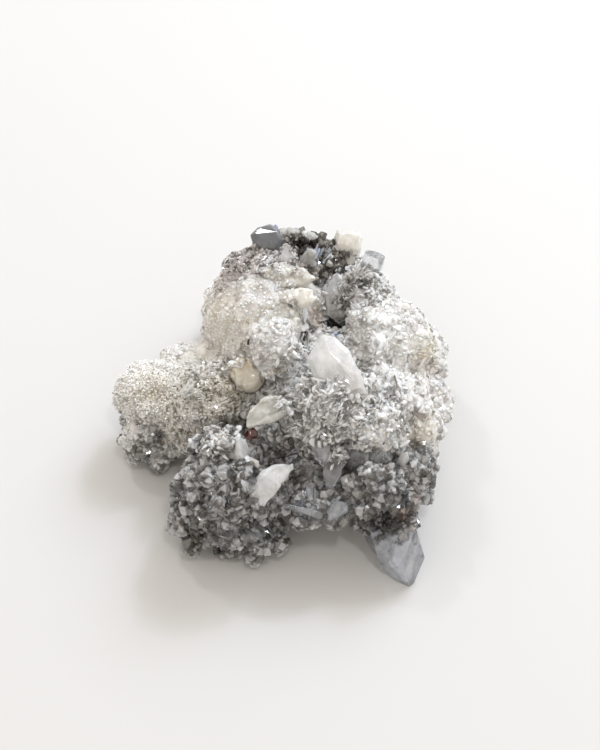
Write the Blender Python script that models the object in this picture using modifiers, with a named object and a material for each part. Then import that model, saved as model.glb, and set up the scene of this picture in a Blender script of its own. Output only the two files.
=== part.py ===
"""An apophyllite cluster small enough for the palm of a hand.

It is one piece: lobes of milky and clear crystal that grew into each other, with
blades, blocks and points fused to them. It stands on a few small flat spots, where the
lowest crystals are worn level. Sizes below are millimetres, +X is the cluster's
right, +Y its back and +Z up.
"""

import math
import random

import bmesh
import bpy
from mathutils import Matrix, Vector, noise
from mathutils.bvhtree import BVHTree
from mathutils.geometry import intersect_ray_tri

MM = 0.001
NODE = "crystal_cluster"

# Where the layout's zero lies, so that the finished cluster's box is centred on the origin.
SEAT = Vector((3.0, 4.5, 0.0))

# The mass under the crystals
INSET = 1.0  # how far the mass lies under the reach of the crystals on it
MELT_GRAIN = 0.9  # grain of the surface while the lobes are melted together
MELT_ROUNDS = 3  # smoothing passes that fill the creases between lobes
RUGGED = 0.8  # how far the surface is pushed in or out, at most
RUGGED_SCALE = 5.5  # distance between one bump and the next
CRUST_GRAIN = 0.5  # grain of the surface while the strewn crystals grow into the mass
CRUST_ROUNDS = 2  # smoothing passes that close the narrowest cracks
CRUST_TRIANGLES = 7600
EASE_ROUNDS = 40  # most passes that part crossing facets
SHARPEST_FOLD = math.radians(165)  # a fold tighter than this is eased as well

# The crystals strewn over the lobes
SEED = 11
TILT = math.radians(28)  # how far a crystal leans away from the surface's own direction
ROOT = 0.62  # share of a crystal's length that is buried
GROUND_CLEARANCE = 2.0  # no strewn crystal starts lower than this

# name: (centre, half axes, coat)
LOBES = {
    "core": ((0, -4, 14), (15, 14, 12), "clear"),
    "dome": ((-6.6, 9, 18), (11.9, 12, 13.5), "milky"),
    "dome_left": ((-10.7, 9, 20), (7.2, 8, 8), "milky"),
    "dome_corner": ((-11.2, 16.3, 24.6), (4.0, 4.0, 4.2), "clear"),
    "dome_top": ((-5, 17, 25), (7, 6.5, 6.5), "clear"),
    "ridge_left": ((3.3, 18, 24), (6, 5.5, 5.5), "dark"),
    "ridge_right": ((11, 11.5, 22), (6.5, 6.5, 6.5), "dark"),
    "right_upper": ((15, 2.5, 20), (8.5, 8.5, 8), "pale"),
    "right_outer": ((20.0, 4.0, 12), (7.4, 7.8, 8), "pale"),
    "right_edge": ((21.9, -3.2, 10), (6, 6.5, 6.5), "pale"),
    "right_low": ((19.4, -12, 12), (5.8, 6, 7), "pale"),
    "right_mid": ((16, -9.9, 19.5), (7, 6.5, 6.5), "pale"),
    "boulder": ((-4.3, -4.5, 29), (5, 4.5, 5.5), "pale"),
    "brow": ((5.9, -13.6, 25), (8, 6.5, 7.5), "clear"),
    "brow_right": ((12, -15.5, 21), (7, 6, 6.5), "clear"),
    "brow_left": ((0.9, -16.5, 21), (5.5, 5, 5), "clear"),
    "front_left": ((-12.2, -24.2, 10.5), (9.3, 8, 13.0), "grain"),
    "front_left_out": ((-16.4, -25.0, 6.8), (6.4, 6.4, 7.4), "grain"),
    "front_left_toe": ((-6.6, -27.6, 4.4), (4.2, 4.6, 5.0), "grain"),
    "front_left_top": ((-13.3, -21, 19), (5.5, 5.5, 6), "grain"),
    "bridge": ((3.1, -26, 13), (8.5, 4, 4), "clear"),
    "front_right": ((14, -23.5, 13), (8, 6.5, 7), "grain"),
    "front_right_out": ((18.4, -21.5, 13.2), (5, 5.5, 6), "grain"),
    "left_dome": ((-26, -4.1, 12), (7.5, 7, 7.5), "milky"),
    "left_low": ((-26.4, -7.2, 6.5), (6.3, 5.7, 8.4), "grain"),
    "left_back": ((-22.4, 2.6, 10.6), (4.8, 4.8, 4.8), "pale"),
    "left_neck": ((-19.7, -8.1, 10), (6, 6, 7), "clear"),
    "saddle": ((-15, -7.5, 16), (8, 8, 7), "milky"),
    "back_left": ((-9, 17, 9.5), (9, 8, 11.1), "pale"),
    "back_right": ((6, 16.5, 11), (9.5, 8.5, 10), "grain"),
    "right_base": ((15, 4, 7.5), (8, 8.5, 9.1), "grain"),
    "throat": ((0.5, -16.5, 13.5), (12, 8, 8.5), "dark"),
    "left_gap": ((-17.0, 0.5, 12.4), (5.8, 6, 6), "milky"),
    "ridge_mid": ((-1.0, 18.4, 24.8), (5.0, 4.8, 5.2), "clear"),
}

# coat: (form, width, length, distance between neighbours)
COATS = {
    "milky": ("block", 4.2, 4.4, 4.4),
    "pale": ("block", 3.4, 4.6, 3.4),
    "clear": ("point", 2.8, 5.2, 3.2),
    "grain": ("block", 2.9, 4.4, 3.0),
    "dark": ("point", 2.3, 4.4, 2.7),
}

# name: (form, root, tip, width, thickness, roll in degrees about its length)
BIG_CRYSTALS = {
    "great_blade": ("tab", (8.9, -14.4, 28.6), (4.0, -6.8, 35.6), 8.4, 3.6, 0),
    "white_tab": ("tab", (-6.0, 3.6, 27.0), (3.2, 2.4, 33.0), 3.0, 2.4, 0),
    "thumb": ("tab", (-0.6, -14.4, 24.2), (-8.9, -19.4, 26.8), 4.9, 3.3, 0),
    "wedge": ("blade", (-10.0, -25.6, 17.0), (-1.4, -25.4, 23.6), 5.0, 3.0, 0),
    "clear_leg": ("point", (14.5, -25.0, 14.5), (19.4, -35.6, -1.4), 7.8, 6.4, 20),
    "leg_side": ("point", (12.0, -26.0, 12.0), (15.6, -33.0, 2.2), 4.2, 3.6, 40),
    "top_grey": ("point", (-6.4, 12.4, 28.6), (-9.0, 19.6, 33.2), 5.0, 4.2, 20),
    "top_ledge": ("blade", (1.0, 15.5, 27.0), (-2.4, 21.6, 30.4), 6.5, 2.2, 10),
    "back_white": ("block", (7.6, 15.5, 22.0), (8.8, 21.4, 28.6), 4.8, 4.4, 15),
    "ridge_white_a": ("block", (11.4, 12.6, 22.0), (13.4, 16.2, 28.4), 3.6, 3.2, 10),
    "ridge_white_b": ("block", (13.0, 8.4, 21.0), (15.7, 12.6, 24.6), 4.0, 3.4, 30),
    "blue_face_a": ("blade", (-1.0, 9.6, 28.6), (-2.8, 14.6, 33.4), 3.4, 1.8, 5),
    "blue_face_b": ("blade", (1.0, 12.6, 25.0), (2.0, 14.4, 32.4), 3.2, 2.2, 0),
    "recess_face": ("block", (7.4, 8.6, 20.5), (6.6, 11.4, 26.5), 6.0, 4.0, 0),
    "cream_fan_a": ("blade", (-12.0, -10.2, 20.0), (-13.6, -6.2, 26.6), 4.2, 2.0, 35),
    "cream_fan_b": ("blade", (-10.0, -9.4, 20.0), (-10.4, -6.0, 27.2), 4.6, 2.0, -20),
    "bridge_plate_a": ("blade", (-1.0, -28.2, 12.0), (8.2, -28.4, 15.4), 4.4, 2.2, 10),
    "bridge_plate_b": ("blade", (6.4, -28.6, 10.8), (-2.4, -28.6, 16.2), 4.4, 2.0, 60),
    "cavern_drop": ("point", (3.6, -18.6, 24.0), (4.0, -23.6, 19.6), 2.6, 2.2, 0),
    "cavern_blade": ("blade", (6.2, -20.4, 21.0), (5.0, -25.2, 16.0), 3.2, 1.8, 0),
    "clear_round_a": ("block", (10.4, -17.0, 19.0), (10.2, -22.4, 18.4), 3.8, 3.4, 15),
    "clear_round_b": ("block", (13.2, -17.0, 19.0), (13.8, -22.2, 19.6), 3.4, 3.2, 35),
    "spike": ("point", (17.0, -20.6, 14.6), (18.2, -21.4, 22.2), 1.9, 1.7, 0),
    "front_crest_a": ("blade", (-12.6, -22.0, 20.5), (-14.2, -19.8, 26.4), 3.6, 2.2, 0),
    "front_crest_b": ("blade", (-9.2, -23.0, 20.0), (-10.4, -21.2, 25.8), 3.2, 2.0, 40),
}

CLEAR_CRYSTAL = ("clear_crystal", (0.78, 0.77, 0.74, 1.0), 0.18)


def clear_scene():
    for old in list(bpy.data.objects):
        bpy.data.objects.remove(old, do_unlink=True)


def make_collection(name):
    made = bpy.data.collections.new(name)
    bpy.context.scene.collection.children.link(made)
    return made


def make_material(name, colour, roughness):
    made = bpy.data.materials.new(name)
    made.use_nodes = True
    shader = made.node_tree.nodes["Principled BSDF"]
    shader.inputs["Base Color"].default_value = colour
    shader.inputs["Roughness"].default_value = roughness
    shader.inputs["Metallic"].default_value = 0.0
    return made


def new_object(name, mesh, collection):
    made = bpy.data.objects.new(name, mesh)
    collection.objects.link(made)
    return made


def evaluated_mesh(obj):
    """The object's mesh with its modifiers applied, as a new mesh."""
    graph = bpy.context.evaluated_depsgraph_get()
    return bpy.data.meshes.new_from_object(obj.evaluated_get(graph))


def lobes_together():
    """All the lobes as overlapping balls in one mesh."""
    shape = bmesh.new()
    for centre, half, _ in LOBES.values():
        size = [(length - INSET) * MM for length in half]
        place = Matrix.Translation((Vector(centre) + SEAT) * MM) @ Matrix.Diagonal((*size, 1))
        bmesh.ops.create_icosphere(shape, subdivisions=4, radius=1, matrix=place)
    mesh = bpy.data.meshes.new("lobes")
    shape.to_mesh(mesh)
    shape.free()
    return mesh


def ruggedness(point):
    """How far the surface stands in or out at a point, from -1 to 1: bumps in cells over slow waves."""
    at = point / (RUGGED_SCALE * MM)
    cells = noise.voronoi(at, distance_metric="DISTANCE")[0]
    return 0.9 * (cells[1] - cells[0]) - 0.45 + 0.5 * noise.noise(at * 0.7)


def remeshed(name, mesh, grain, rounds, collection):
    """The outer skin of overlapping closed shapes as one even mesh, smoothed over some rounds."""
    lump = new_object(name, mesh, collection)
    melt = lump.modifiers.new("melt", "REMESH")
    melt.mode = "VOXEL"
    melt.voxel_size = grain * MM
    smooth = lump.modifiers.new("smooth", "SMOOTH")
    smooth.factor = 0.5
    smooth.iterations = rounds
    skin = evaluated_mesh(lump)
    bpy.data.objects.remove(lump)
    return skin


def largest_island(mesh):
    """The mesh with only its biggest connected surface left: no stray sliver, no closed pocket inside."""
    shape = bmesh.new()
    shape.from_mesh(mesh)
    unseen, islands = set(shape.verts), []
    while unseen:
        island, edge = set(), {unseen.pop()}
        while edge:
            island |= edge
            edge = {e.other_vert(v) for v in edge for e in v.link_edges} - island
        unseen -= island
        islands.append(island)
    islands.sort(key=len)
    stray = [vertex for island in islands[:-1] for vertex in island]
    bmesh.ops.delete(shape, geom=stray, context="VERTS")
    shape.to_mesh(mesh)
    shape.free()
    return mesh


def edge_pierces(face, other, shared):
    """Whether the edge of a face that lies across from its shared corner goes through the other face."""
    start, end = [v.co for v in face.verts if v is not shared]
    way = end - start
    hit = intersect_ray_tri(*[v.co for v in other.verts], way, start, True)
    return hit is not None and (hit - start).length < way.length


def faces_cross(first, second):
    shared = set(first.verts) & set(second.verts)
    if len(shared) == 1:
        corner = shared.pop()
        return edge_pierces(first, second, corner) or edge_pierces(second, first, corner)
    return not shared


def untangled(mesh):
    """The mesh with its points eased wherever facets cross or fold flat against each other."""
    shape = bmesh.new()
    shape.from_mesh(mesh)
    bmesh.ops.triangulate(shape, faces=shape.faces)
    for _ in range(EASE_ROUNDS):
        shape.faces.ensure_lookup_table()
        tree = BVHTree.FromBMesh(shape)
        tangle = set()
        for a, b in tree.overlap(tree):
            if a < b and faces_cross(shape.faces[a], shape.faces[b]):
                tangle |= set(shape.faces[a].verts) | set(shape.faces[b].verts)
        for edge in shape.edges:
            if edge.calc_face_angle(0) > SHARPEST_FOLD:
                tangle |= set(edge.verts)
        if not tangle:
            break
        tangle |= {e.other_vert(v) for v in tangle for e in v.link_edges}
        bmesh.ops.smooth_vert(
            shape, verts=list(tangle), factor=0.4, use_axis_x=True, use_axis_y=True, use_axis_z=True
        )
    print(f"{len(tangle)} points still tangled")
    shape.to_mesh(mesh)
    shape.free()
    return mesh


def melted_lobes(collection):
    """The lobes melted into one mass with a rugged surface."""
    mass = remeshed("lobes", lobes_together(), MELT_GRAIN, MELT_ROUNDS, collection)
    outward = [vertex.normal.copy() for vertex in mass.vertices]
    for vertex, way in zip(mass.vertices, outward):
        vertex.co += way * (ruggedness(vertex.co - SEAT * MM) * RUGGED * MM)
    return mass


def crusted_mass(forms, collection):
    """The mass with the strewn crystals grown into it, in flat facets."""
    strewn = strewn_crystals()
    shape = bmesh.new()
    shape.from_mesh(melted_lobes(collection))
    for form, root, tip, width, roll in strewn:
        add_crystal(shape, forms[form], crystal_place(root, tip, width, width * 0.86, roll))
    mesh = bpy.data.meshes.new("crust")
    shape.to_mesh(mesh)
    shape.free()
    skin = remeshed("crust", mesh, CRUST_GRAIN, CRUST_ROUNDS, collection)
    skin.calc_loop_triangles()
    crust = new_object("crust_skin", skin, collection)
    facets = crust.modifiers.new("facets", "DECIMATE")
    facets.ratio = CRUST_TRIANGLES / len(skin.loop_triangles)
    faceted = evaluated_mesh(crust)
    bpy.data.objects.remove(crust)
    print(f"{len(strewn)} strewn crystals, {len(faceted.vertices)} points")
    return untangled(largest_island(faceted))


# Each form starts as a box 1 wide, 1 thick and 1 long, rooted at z 0, and is cut by
# these planes: (direction faced, a point on the plane).
CORNERS = [(sx, sy) for sx in (-1, 1) for sy in (-1, 1)]
SIDES = (-1, 1)
FORMS = {
    # a stout prism with its four corners cut by pyramid faces
    "block": [((sx, sy, 1.1), (sx * 0.36, sy * 0.36, 1)) for sx, sy in CORNERS],
    # a prism that ends in a steep four-faced point, over its edges
    "point": [((sx, sy, 1.7), (0, 0, 1.0)) for sx, sy in CORNERS] + [((0, 0, 1), (0, 0, 0.93))],
    # a flat crystal with a chisel end
    "blade": [((s, 0, 0.9), (s * 0.16, 0, 1)) for s in SIDES]
    + [((0, s, 0.35), (0, s * 0.16, 1)) for s in SIDES]
    + [((sx, sy, 0), (sx * 0.5, sy * 0.3, 0)) for sx, sy in CORNERS],
    # a broad flat crystal with a rounded end and a bevelled rim
    "tab": [((s, 0, 0.45), (s * 0.42, 0, 0.75)) for s in SIDES]
    + [((s, 0, 1.5), (s * 0.2, 0, 1)) for s in SIDES]
    + [((0, s, 0.5), (0, s * 0.2, 1)) for s in SIDES]
    + [((sx, sy, 0), (sx * 0.5, sy * 0.24, 0)) for sx, sy in CORNERS],
}


def form_mesh(form):
    """One crystal of this form, as a mesh 1 wide, 1 thick and 1 long."""
    shape = bmesh.new()
    bmesh.ops.create_cube(shape, size=1, matrix=Matrix.Translation((0, 0, 0.5)))
    for facing, through in FORMS[form]:
        cut = bmesh.ops.bisect_plane(
            shape,
            geom=shape.verts[:] + shape.edges[:] + shape.faces[:],
            plane_co=through,
            plane_no=facing,
            clear_outer=True,
            dist=1e-5,
        )
        rim = [e for e in cut["geom_cut"] if isinstance(e, bmesh.types.BMEdge)]
        bmesh.ops.edgeloop_fill(shape, edges=[e for e in rim if e.is_boundary])
    bmesh.ops.recalc_face_normals(shape, faces=shape.faces)
    mesh = bpy.data.meshes.new(form)
    shape.to_mesh(mesh)
    shape.free()
    return mesh


def crystal_place(root, tip, width, thickness, roll):
    """The matrix that puts a unit crystal's root and tip at these points, rolled about its length."""
    along = Vector(tip) - Vector(root)
    turn = along.to_track_quat("Z", "Y").to_matrix().to_4x4()
    size = Matrix.Diagonal((width, thickness, along.length, 1))
    return (
        Matrix.Scale(MM, 4)
        @ Matrix.Translation(Vector(root) + SEAT)
        @ turn
        @ Matrix.Rotation(math.radians(roll), 4, "Z")
        @ size
    )


def outside_others(point, own):
    for name, (centre, half, _) in LOBES.items():
        if name != own:
            d = Vector(point) - Vector(centre)
            if sum((d[k] / half[k]) ** 2 for k in range(3)) < 1.0:
                return False
    return True


def strewn_crystals():
    """Places for the small crystals: spiral points on each lobe, where nothing else covers them."""
    pick = random.Random(SEED)
    taken, found = [], []
    for name, (centre, half, coat) in LOBES.items():
        form, width, length, apart = COATS[coat]
        area = 4 * math.pi * (sum(half) / 3) ** 2
        count = int(area / (apart * apart * 0.5))
        for i in range(count):
            z = 1 - 2 * (i + 0.5) / count
            turn = i * math.pi * (3 - math.sqrt(5)) + pick.uniform(-0.4, 0.4)
            ring = math.sqrt(1 - z * z)
            unit = Vector((ring * math.cos(turn), ring * math.sin(turn), z))
            point = Vector([centre[k] + (half[k] - INSET) * unit[k] for k in range(3)])
            grow, lean = pick.uniform(0.75, 1.25), pick.uniform(0, TILT)
            side, roll = pick.uniform(0, 2 * math.pi), pick.uniform(0, 90)
            if point.z < GROUND_CLEARANCE or not outside_others(point, name):
                continue
            if any((point - p).length < apart * 0.85 for p in taken):
                continue
            taken.append(point)
            outward = Vector([unit[k] / half[k] for k in range(3)]).normalized()
            across = outward.orthogonal().normalized()
            across.rotate(Matrix.Rotation(side, 3, outward))
            way = outward * math.cos(lean) + across * math.sin(lean)
            reach = length * grow
            root = point - way * (reach * ROOT)
            found.append((form, root, root + way * reach, width * grow, roll))
    return found


def add_crystal(shape, unit_crystal, place):
    start = len(shape.verts)
    shape.from_mesh(unit_crystal)
    shape.verts.ensure_lookup_table()
    bmesh.ops.transform(shape, matrix=place, verts=shape.verts[start:])


def build_big_crystals(forms, collection):
    """The big crystals as one mesh of overlapping closed shapes."""
    shape = bmesh.new()
    for form, root, tip, width, thickness, roll in BIG_CRYSTALS.values():
        add_crystal(shape, forms[form], crystal_place(root, tip, width, thickness, roll))
    mesh = bpy.data.meshes.new("big_crystals")
    shape.to_mesh(mesh)
    shape.free()
    made = new_object("big_crystals", mesh, collection)
    made.hide_render = True
    made.display_type = "WIRE"
    return made


def build_ground_cutter(collection):
    """A slab below the cluster, which levels the crystals that it stands on."""
    side, depth = 120 * MM, 20 * MM
    shape = bmesh.new()
    bmesh.ops.create_cube(shape, size=1)
    bmesh.ops.scale(shape, vec=(side, side, depth), verts=shape.verts)
    bmesh.ops.translate(shape, vec=(0, 0, SEAT.z * MM - depth / 2), verts=shape.verts)
    mesh = bpy.data.meshes.new("ground")
    shape.to_mesh(mesh)
    shape.free()
    made = new_object("ground", mesh, collection)
    made.hide_render = True
    made.display_type = "WIRE"
    return made


def main():
    clear_scene()
    cluster = make_collection("apophyllite_cluster")
    cutters = make_collection("cutters")
    forms = {form: form_mesh(form) for form in FORMS}
    rough = new_object("crust_and_crystals", crusted_mass(forms, cutters), cutters)
    grow = rough.modifiers.new("grow_crystals", "BOOLEAN")
    grow.operation = "UNION"
    grow.solver = "EXACT"
    grow.use_self = True
    grow.object = build_big_crystals(forms, cutters)
    level = rough.modifiers.new("level_feet", "BOOLEAN")
    level.operation = "DIFFERENCE"
    level.solver = "EXACT"
    level.object = build_ground_cutter(cutters)
    body = new_object(NODE, largest_island(evaluated_mesh(rough)), cluster)
    body.data.materials.append(make_material(*CLEAR_CRYSTAL))
    bpy.data.objects.remove(rough)


main()
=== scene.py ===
"""How the apophyllite cluster looks: milky and clear crystals under a crust of fine ones.

The layout is the part's own, in millimetres: +X is the cluster's right, +Y its back
and +Z up. SEAT moves it into the frame.
"""

import math
import random
from collections import namedtuple

import bmesh
import bpy
import numpy as np
from bpy.props import FloatProperty, FloatVectorProperty, IntProperty, PointerProperty
from mathutils import Matrix, Vector, noise
from mathutils.bvhtree import BVHTree


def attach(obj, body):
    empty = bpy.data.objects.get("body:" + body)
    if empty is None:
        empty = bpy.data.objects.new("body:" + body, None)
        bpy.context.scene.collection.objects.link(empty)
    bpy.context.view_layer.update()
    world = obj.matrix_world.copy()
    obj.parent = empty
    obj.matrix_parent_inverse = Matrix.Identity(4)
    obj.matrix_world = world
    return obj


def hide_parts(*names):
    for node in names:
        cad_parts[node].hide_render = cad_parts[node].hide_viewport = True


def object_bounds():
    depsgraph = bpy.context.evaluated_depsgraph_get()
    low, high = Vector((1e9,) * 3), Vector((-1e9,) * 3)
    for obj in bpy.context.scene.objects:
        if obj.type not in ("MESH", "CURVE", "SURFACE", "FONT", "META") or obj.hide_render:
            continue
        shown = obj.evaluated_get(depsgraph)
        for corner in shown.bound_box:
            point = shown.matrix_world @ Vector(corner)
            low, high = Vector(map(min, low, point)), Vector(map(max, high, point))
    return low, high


bl_info = {
    "name": "Apophyllite cluster",
    "version": (1, 0, 0),
    "blender": (4, 5, 0),
    "location": "3D view > Sidebar > Cluster",
    "description": "Grows a cluster of apophyllite crystals and lights it like a specimen",
    "category": "Add Mesh",
}

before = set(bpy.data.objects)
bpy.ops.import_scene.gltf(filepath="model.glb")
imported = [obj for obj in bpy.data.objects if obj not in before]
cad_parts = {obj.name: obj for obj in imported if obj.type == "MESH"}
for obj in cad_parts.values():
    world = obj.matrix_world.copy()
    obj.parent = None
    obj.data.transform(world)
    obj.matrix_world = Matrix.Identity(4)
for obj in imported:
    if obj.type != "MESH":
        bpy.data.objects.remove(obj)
CAD_BOX = [list(corner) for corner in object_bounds()]

MM = 0.001
BODY = "root"
NODE = "crystal_cluster"
SEAT = Vector((3.0, 4.5, 0.0))

# The mass, as in the part: how far its lobes are drawn in, the grain and smoothing of their melt, and
# the height and size of the bumps on it
INSET = 1.0
MELT_GRAIN = 0.9
MELT_ROUNDS = 3
RUGGED = 0.8
RUGGED_SCALE = 5.5
CRUST_ROUNDS = 2
SEED = 11
# The small crystals strewn over it: how far they lean, their buried share, and the lowest they start
TILT = math.radians(28)
ROOT = 0.62
GROUND_CLEARANCE = 2.0
# How little a large crystal stands clear of the ground where it is cut flat
FOOT_GAP = 0.02

# name: (centre, half axes, coat)
LOBES = {
    "core": ((0, -4, 14), (15, 14, 12), "clear"),
    "dome": ((-6.6, 9, 18), (11.9, 12, 13.5), "milky"),
    "dome_left": ((-10.7, 9, 20), (7.2, 8, 8), "milky"),
    "dome_corner": ((-11.2, 16.3, 24.6), (4.0, 4.0, 4.2), "clear"),
    "dome_top": ((-5, 17, 25), (7, 6.5, 6.5), "clear"),
    "ridge_left": ((3.3, 18, 24), (6, 5.5, 5.5), "dark"),
    "ridge_right": ((11, 11.5, 22), (6.5, 6.5, 6.5), "dark"),
    "right_upper": ((15, 2.5, 20), (8.5, 8.5, 8), "pale"),
    "right_outer": ((20.0, 4.0, 12), (7.4, 7.8, 8), "pale"),
    "right_edge": ((21.9, -3.2, 10), (6, 6.5, 6.5), "pale"),
    "right_low": ((19.4, -12, 12), (5.8, 6, 7), "pale"),
    "right_mid": ((16, -9.9, 19.5), (7, 6.5, 6.5), "pale"),
    "boulder": ((-4.3, -4.5, 29), (5, 4.5, 5.5), "pale"),
    "brow": ((5.9, -13.6, 25), (8, 6.5, 7.5), "clear"),
    "brow_right": ((12, -15.5, 21), (7, 6, 6.5), "clear"),
    "brow_left": ((0.9, -16.5, 21), (5.5, 5, 5), "clear"),
    "front_left": ((-12.2, -24.2, 10.5), (9.3, 8, 13.0), "grain"),
    "front_left_out": ((-16.4, -25.0, 6.8), (6.4, 6.4, 7.4), "grain"),
    "front_left_toe": ((-6.6, -27.6, 4.4), (4.2, 4.6, 5.0), "grain"),
    "front_left_top": ((-13.3, -21, 19), (5.5, 5.5, 6), "grain"),
    "bridge": ((3.1, -26, 13), (8.5, 4, 4), "clear"),
    "front_right": ((14, -23.5, 13), (8, 6.5, 7), "grain"),
    "front_right_out": ((18.4, -21.5, 13.2), (5, 5.5, 6), "grain"),
    "left_dome": ((-26, -4.1, 12), (7.5, 7, 7.5), "milky"),
    "left_low": ((-26.4, -7.2, 6.5), (6.3, 5.7, 8.4), "grain"),
    "left_back": ((-22.4, 2.6, 10.6), (4.8, 4.8, 4.8), "pale"),
    "left_neck": ((-19.7, -8.1, 10), (6, 6, 7), "clear"),
    "saddle": ((-15, -7.5, 16), (8, 8, 7), "milky"),
    "back_left": ((-9, 17, 9.5), (9, 8, 11.1), "pale"),
    "back_right": ((6, 16.5, 11), (9.5, 8.5, 10), "grain"),
    "right_base": ((15, 4, 7.5), (8, 8.5, 9.1), "grain"),
    "throat": ((0.5, -16.5, 13.5), (12, 8, 8.5), "dark"),
    "left_gap": ((-17.0, 0.5, 12.4), (5.8, 6, 6), "milky"),
    "ridge_mid": ((-1.0, 18.4, 24.8), (5.0, 4.8, 5.2), "clear"),
}

# coat: (form, width, length, distance between neighbours)
COATS = {
    "milky": ("block", 4.2, 4.4, 4.4),
    "pale": ("block", 3.4, 4.6, 3.4),
    "clear": ("point", 2.8, 5.2, 3.2),
    "grain": ("block", 2.9, 4.4, 3.0),
    "dark": ("point", 2.3, 4.4, 2.7),
}

# lobe: the look of its skin, where that isn't the look of its coat
SKINS = {
    "left_dome": "fuzz",
    "saddle": "sugar",
    "left_neck": "sugar",
    "dome_corner": "lilac",
    "dome_top": "lilac",
    "ridge_mid": "dark",
    "ridge_right": "clear",
    "throat": "grain",
    "bridge": "grain",
}

# Places whose skin looks unlike the lobe they lie on: (centre, half axes, look)
SPOTS = {
    "dome_crown": ((-9.5, 14.5, 30.5), (8.0, 4.6, 4.6), "lilac"),
    "dome_shoulder": ((-16.5, 12.0, 26.0), (3.5, 4.5, 4.5), "lilac"),
    "left_crust": ((-30.5, -10.5, 11.5), (4.2, 4.4, 5.4), "pale"),
    "left_foot": ((-27.0, -11.0, 5.0), (5.5, 3.5, 4.0), "pale"),
    "crest": ((-14.0, -21.0, 24.0), (4.6, 3.4, 3.6), "clear"),
    "right_glass": ((13.5, -19.0, 23.0), (6.0, 4.4, 5.2), "pale"),
    "cavern_roof": ((3.5, -23.5, 22.5), (4.6, 3.0, 2.4), "clear"),
    "brow_clear": ((1.5, -12.5, 30.0), (4.5, 5.0, 3.0), "clear"),
}

# look: (form, width, length, distance between neighbours, lean in degrees, buried share)
DRUSE = {
    "milky": ("spire", 0.5, 0.5, 0.8, 45, 0.68),
    "fuzz": ("spire", 0.42, 0.75, 0.46, 45, 0.55),
    "pale": ("spire", 0.9, 1.0, 0.95, 45, 0.72),
    "clear": ("lath", 0.8, 1.9, 0.68, 50, 0.58),
    "grain": ("spire", 0.95, 1.3, 0.74, 50, 0.52),
    "dark": ("spire", 0.7, 1.2, 0.58, 45, 0.5),
    "sugar": ("spire", 0.5, 0.8, 0.42, 50, 0.58),
    "lilac": ("spire", 0.6, 0.9, 0.5, 50, 0.62),
}

# look: (mass colour, palest crystal, darkest crystal, share of dark ones, share of clear ones, waxiness,
# clearness of the cloudy ones)
LOOKS = {
    "milky": ("#e6e2da", "#f0ede6", "#dfdad1", 0.4, 0.06, 1.0, 0.05),
    "fuzz": ("#fcf6eb", "#fefaf3", "#f6eee1", 0.3, 0.04, 0.9, 0.05),
    "pale": ("#f6f4f0", "#f8f6f2", "#e6dfd6", 0.4, 0.14, 0.8, 0.12),
    "clear": ("#fcfaf7", "#fdfcfa", "#ebe7e0", 0.35, 0.3, 0.35, 0.2),
    # The grain look's mass is darker than all its crystals: painted shade in the gaps between them, over
    # the mass's own grey-brown.
    "grain": ("#918a81", "#fbfbfa", "#a39c94", 0.4, 0.46, 0.0, 0.45),
    "dark": ("#6b6155", "#dcd7ce", "#6b6155", 0.5, 0.45, 0.0, 0.3),
    "sugar": ("#fbf3e6", "#fcf8ef", "#d6c9b4", 0.3, 0.2, 0.5, 0.12),
    "lilac": ("#d9d0cb", "#efe9e5", "#a89d95", 0.45, 0.25, 0.5, 0.15),
}

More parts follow.
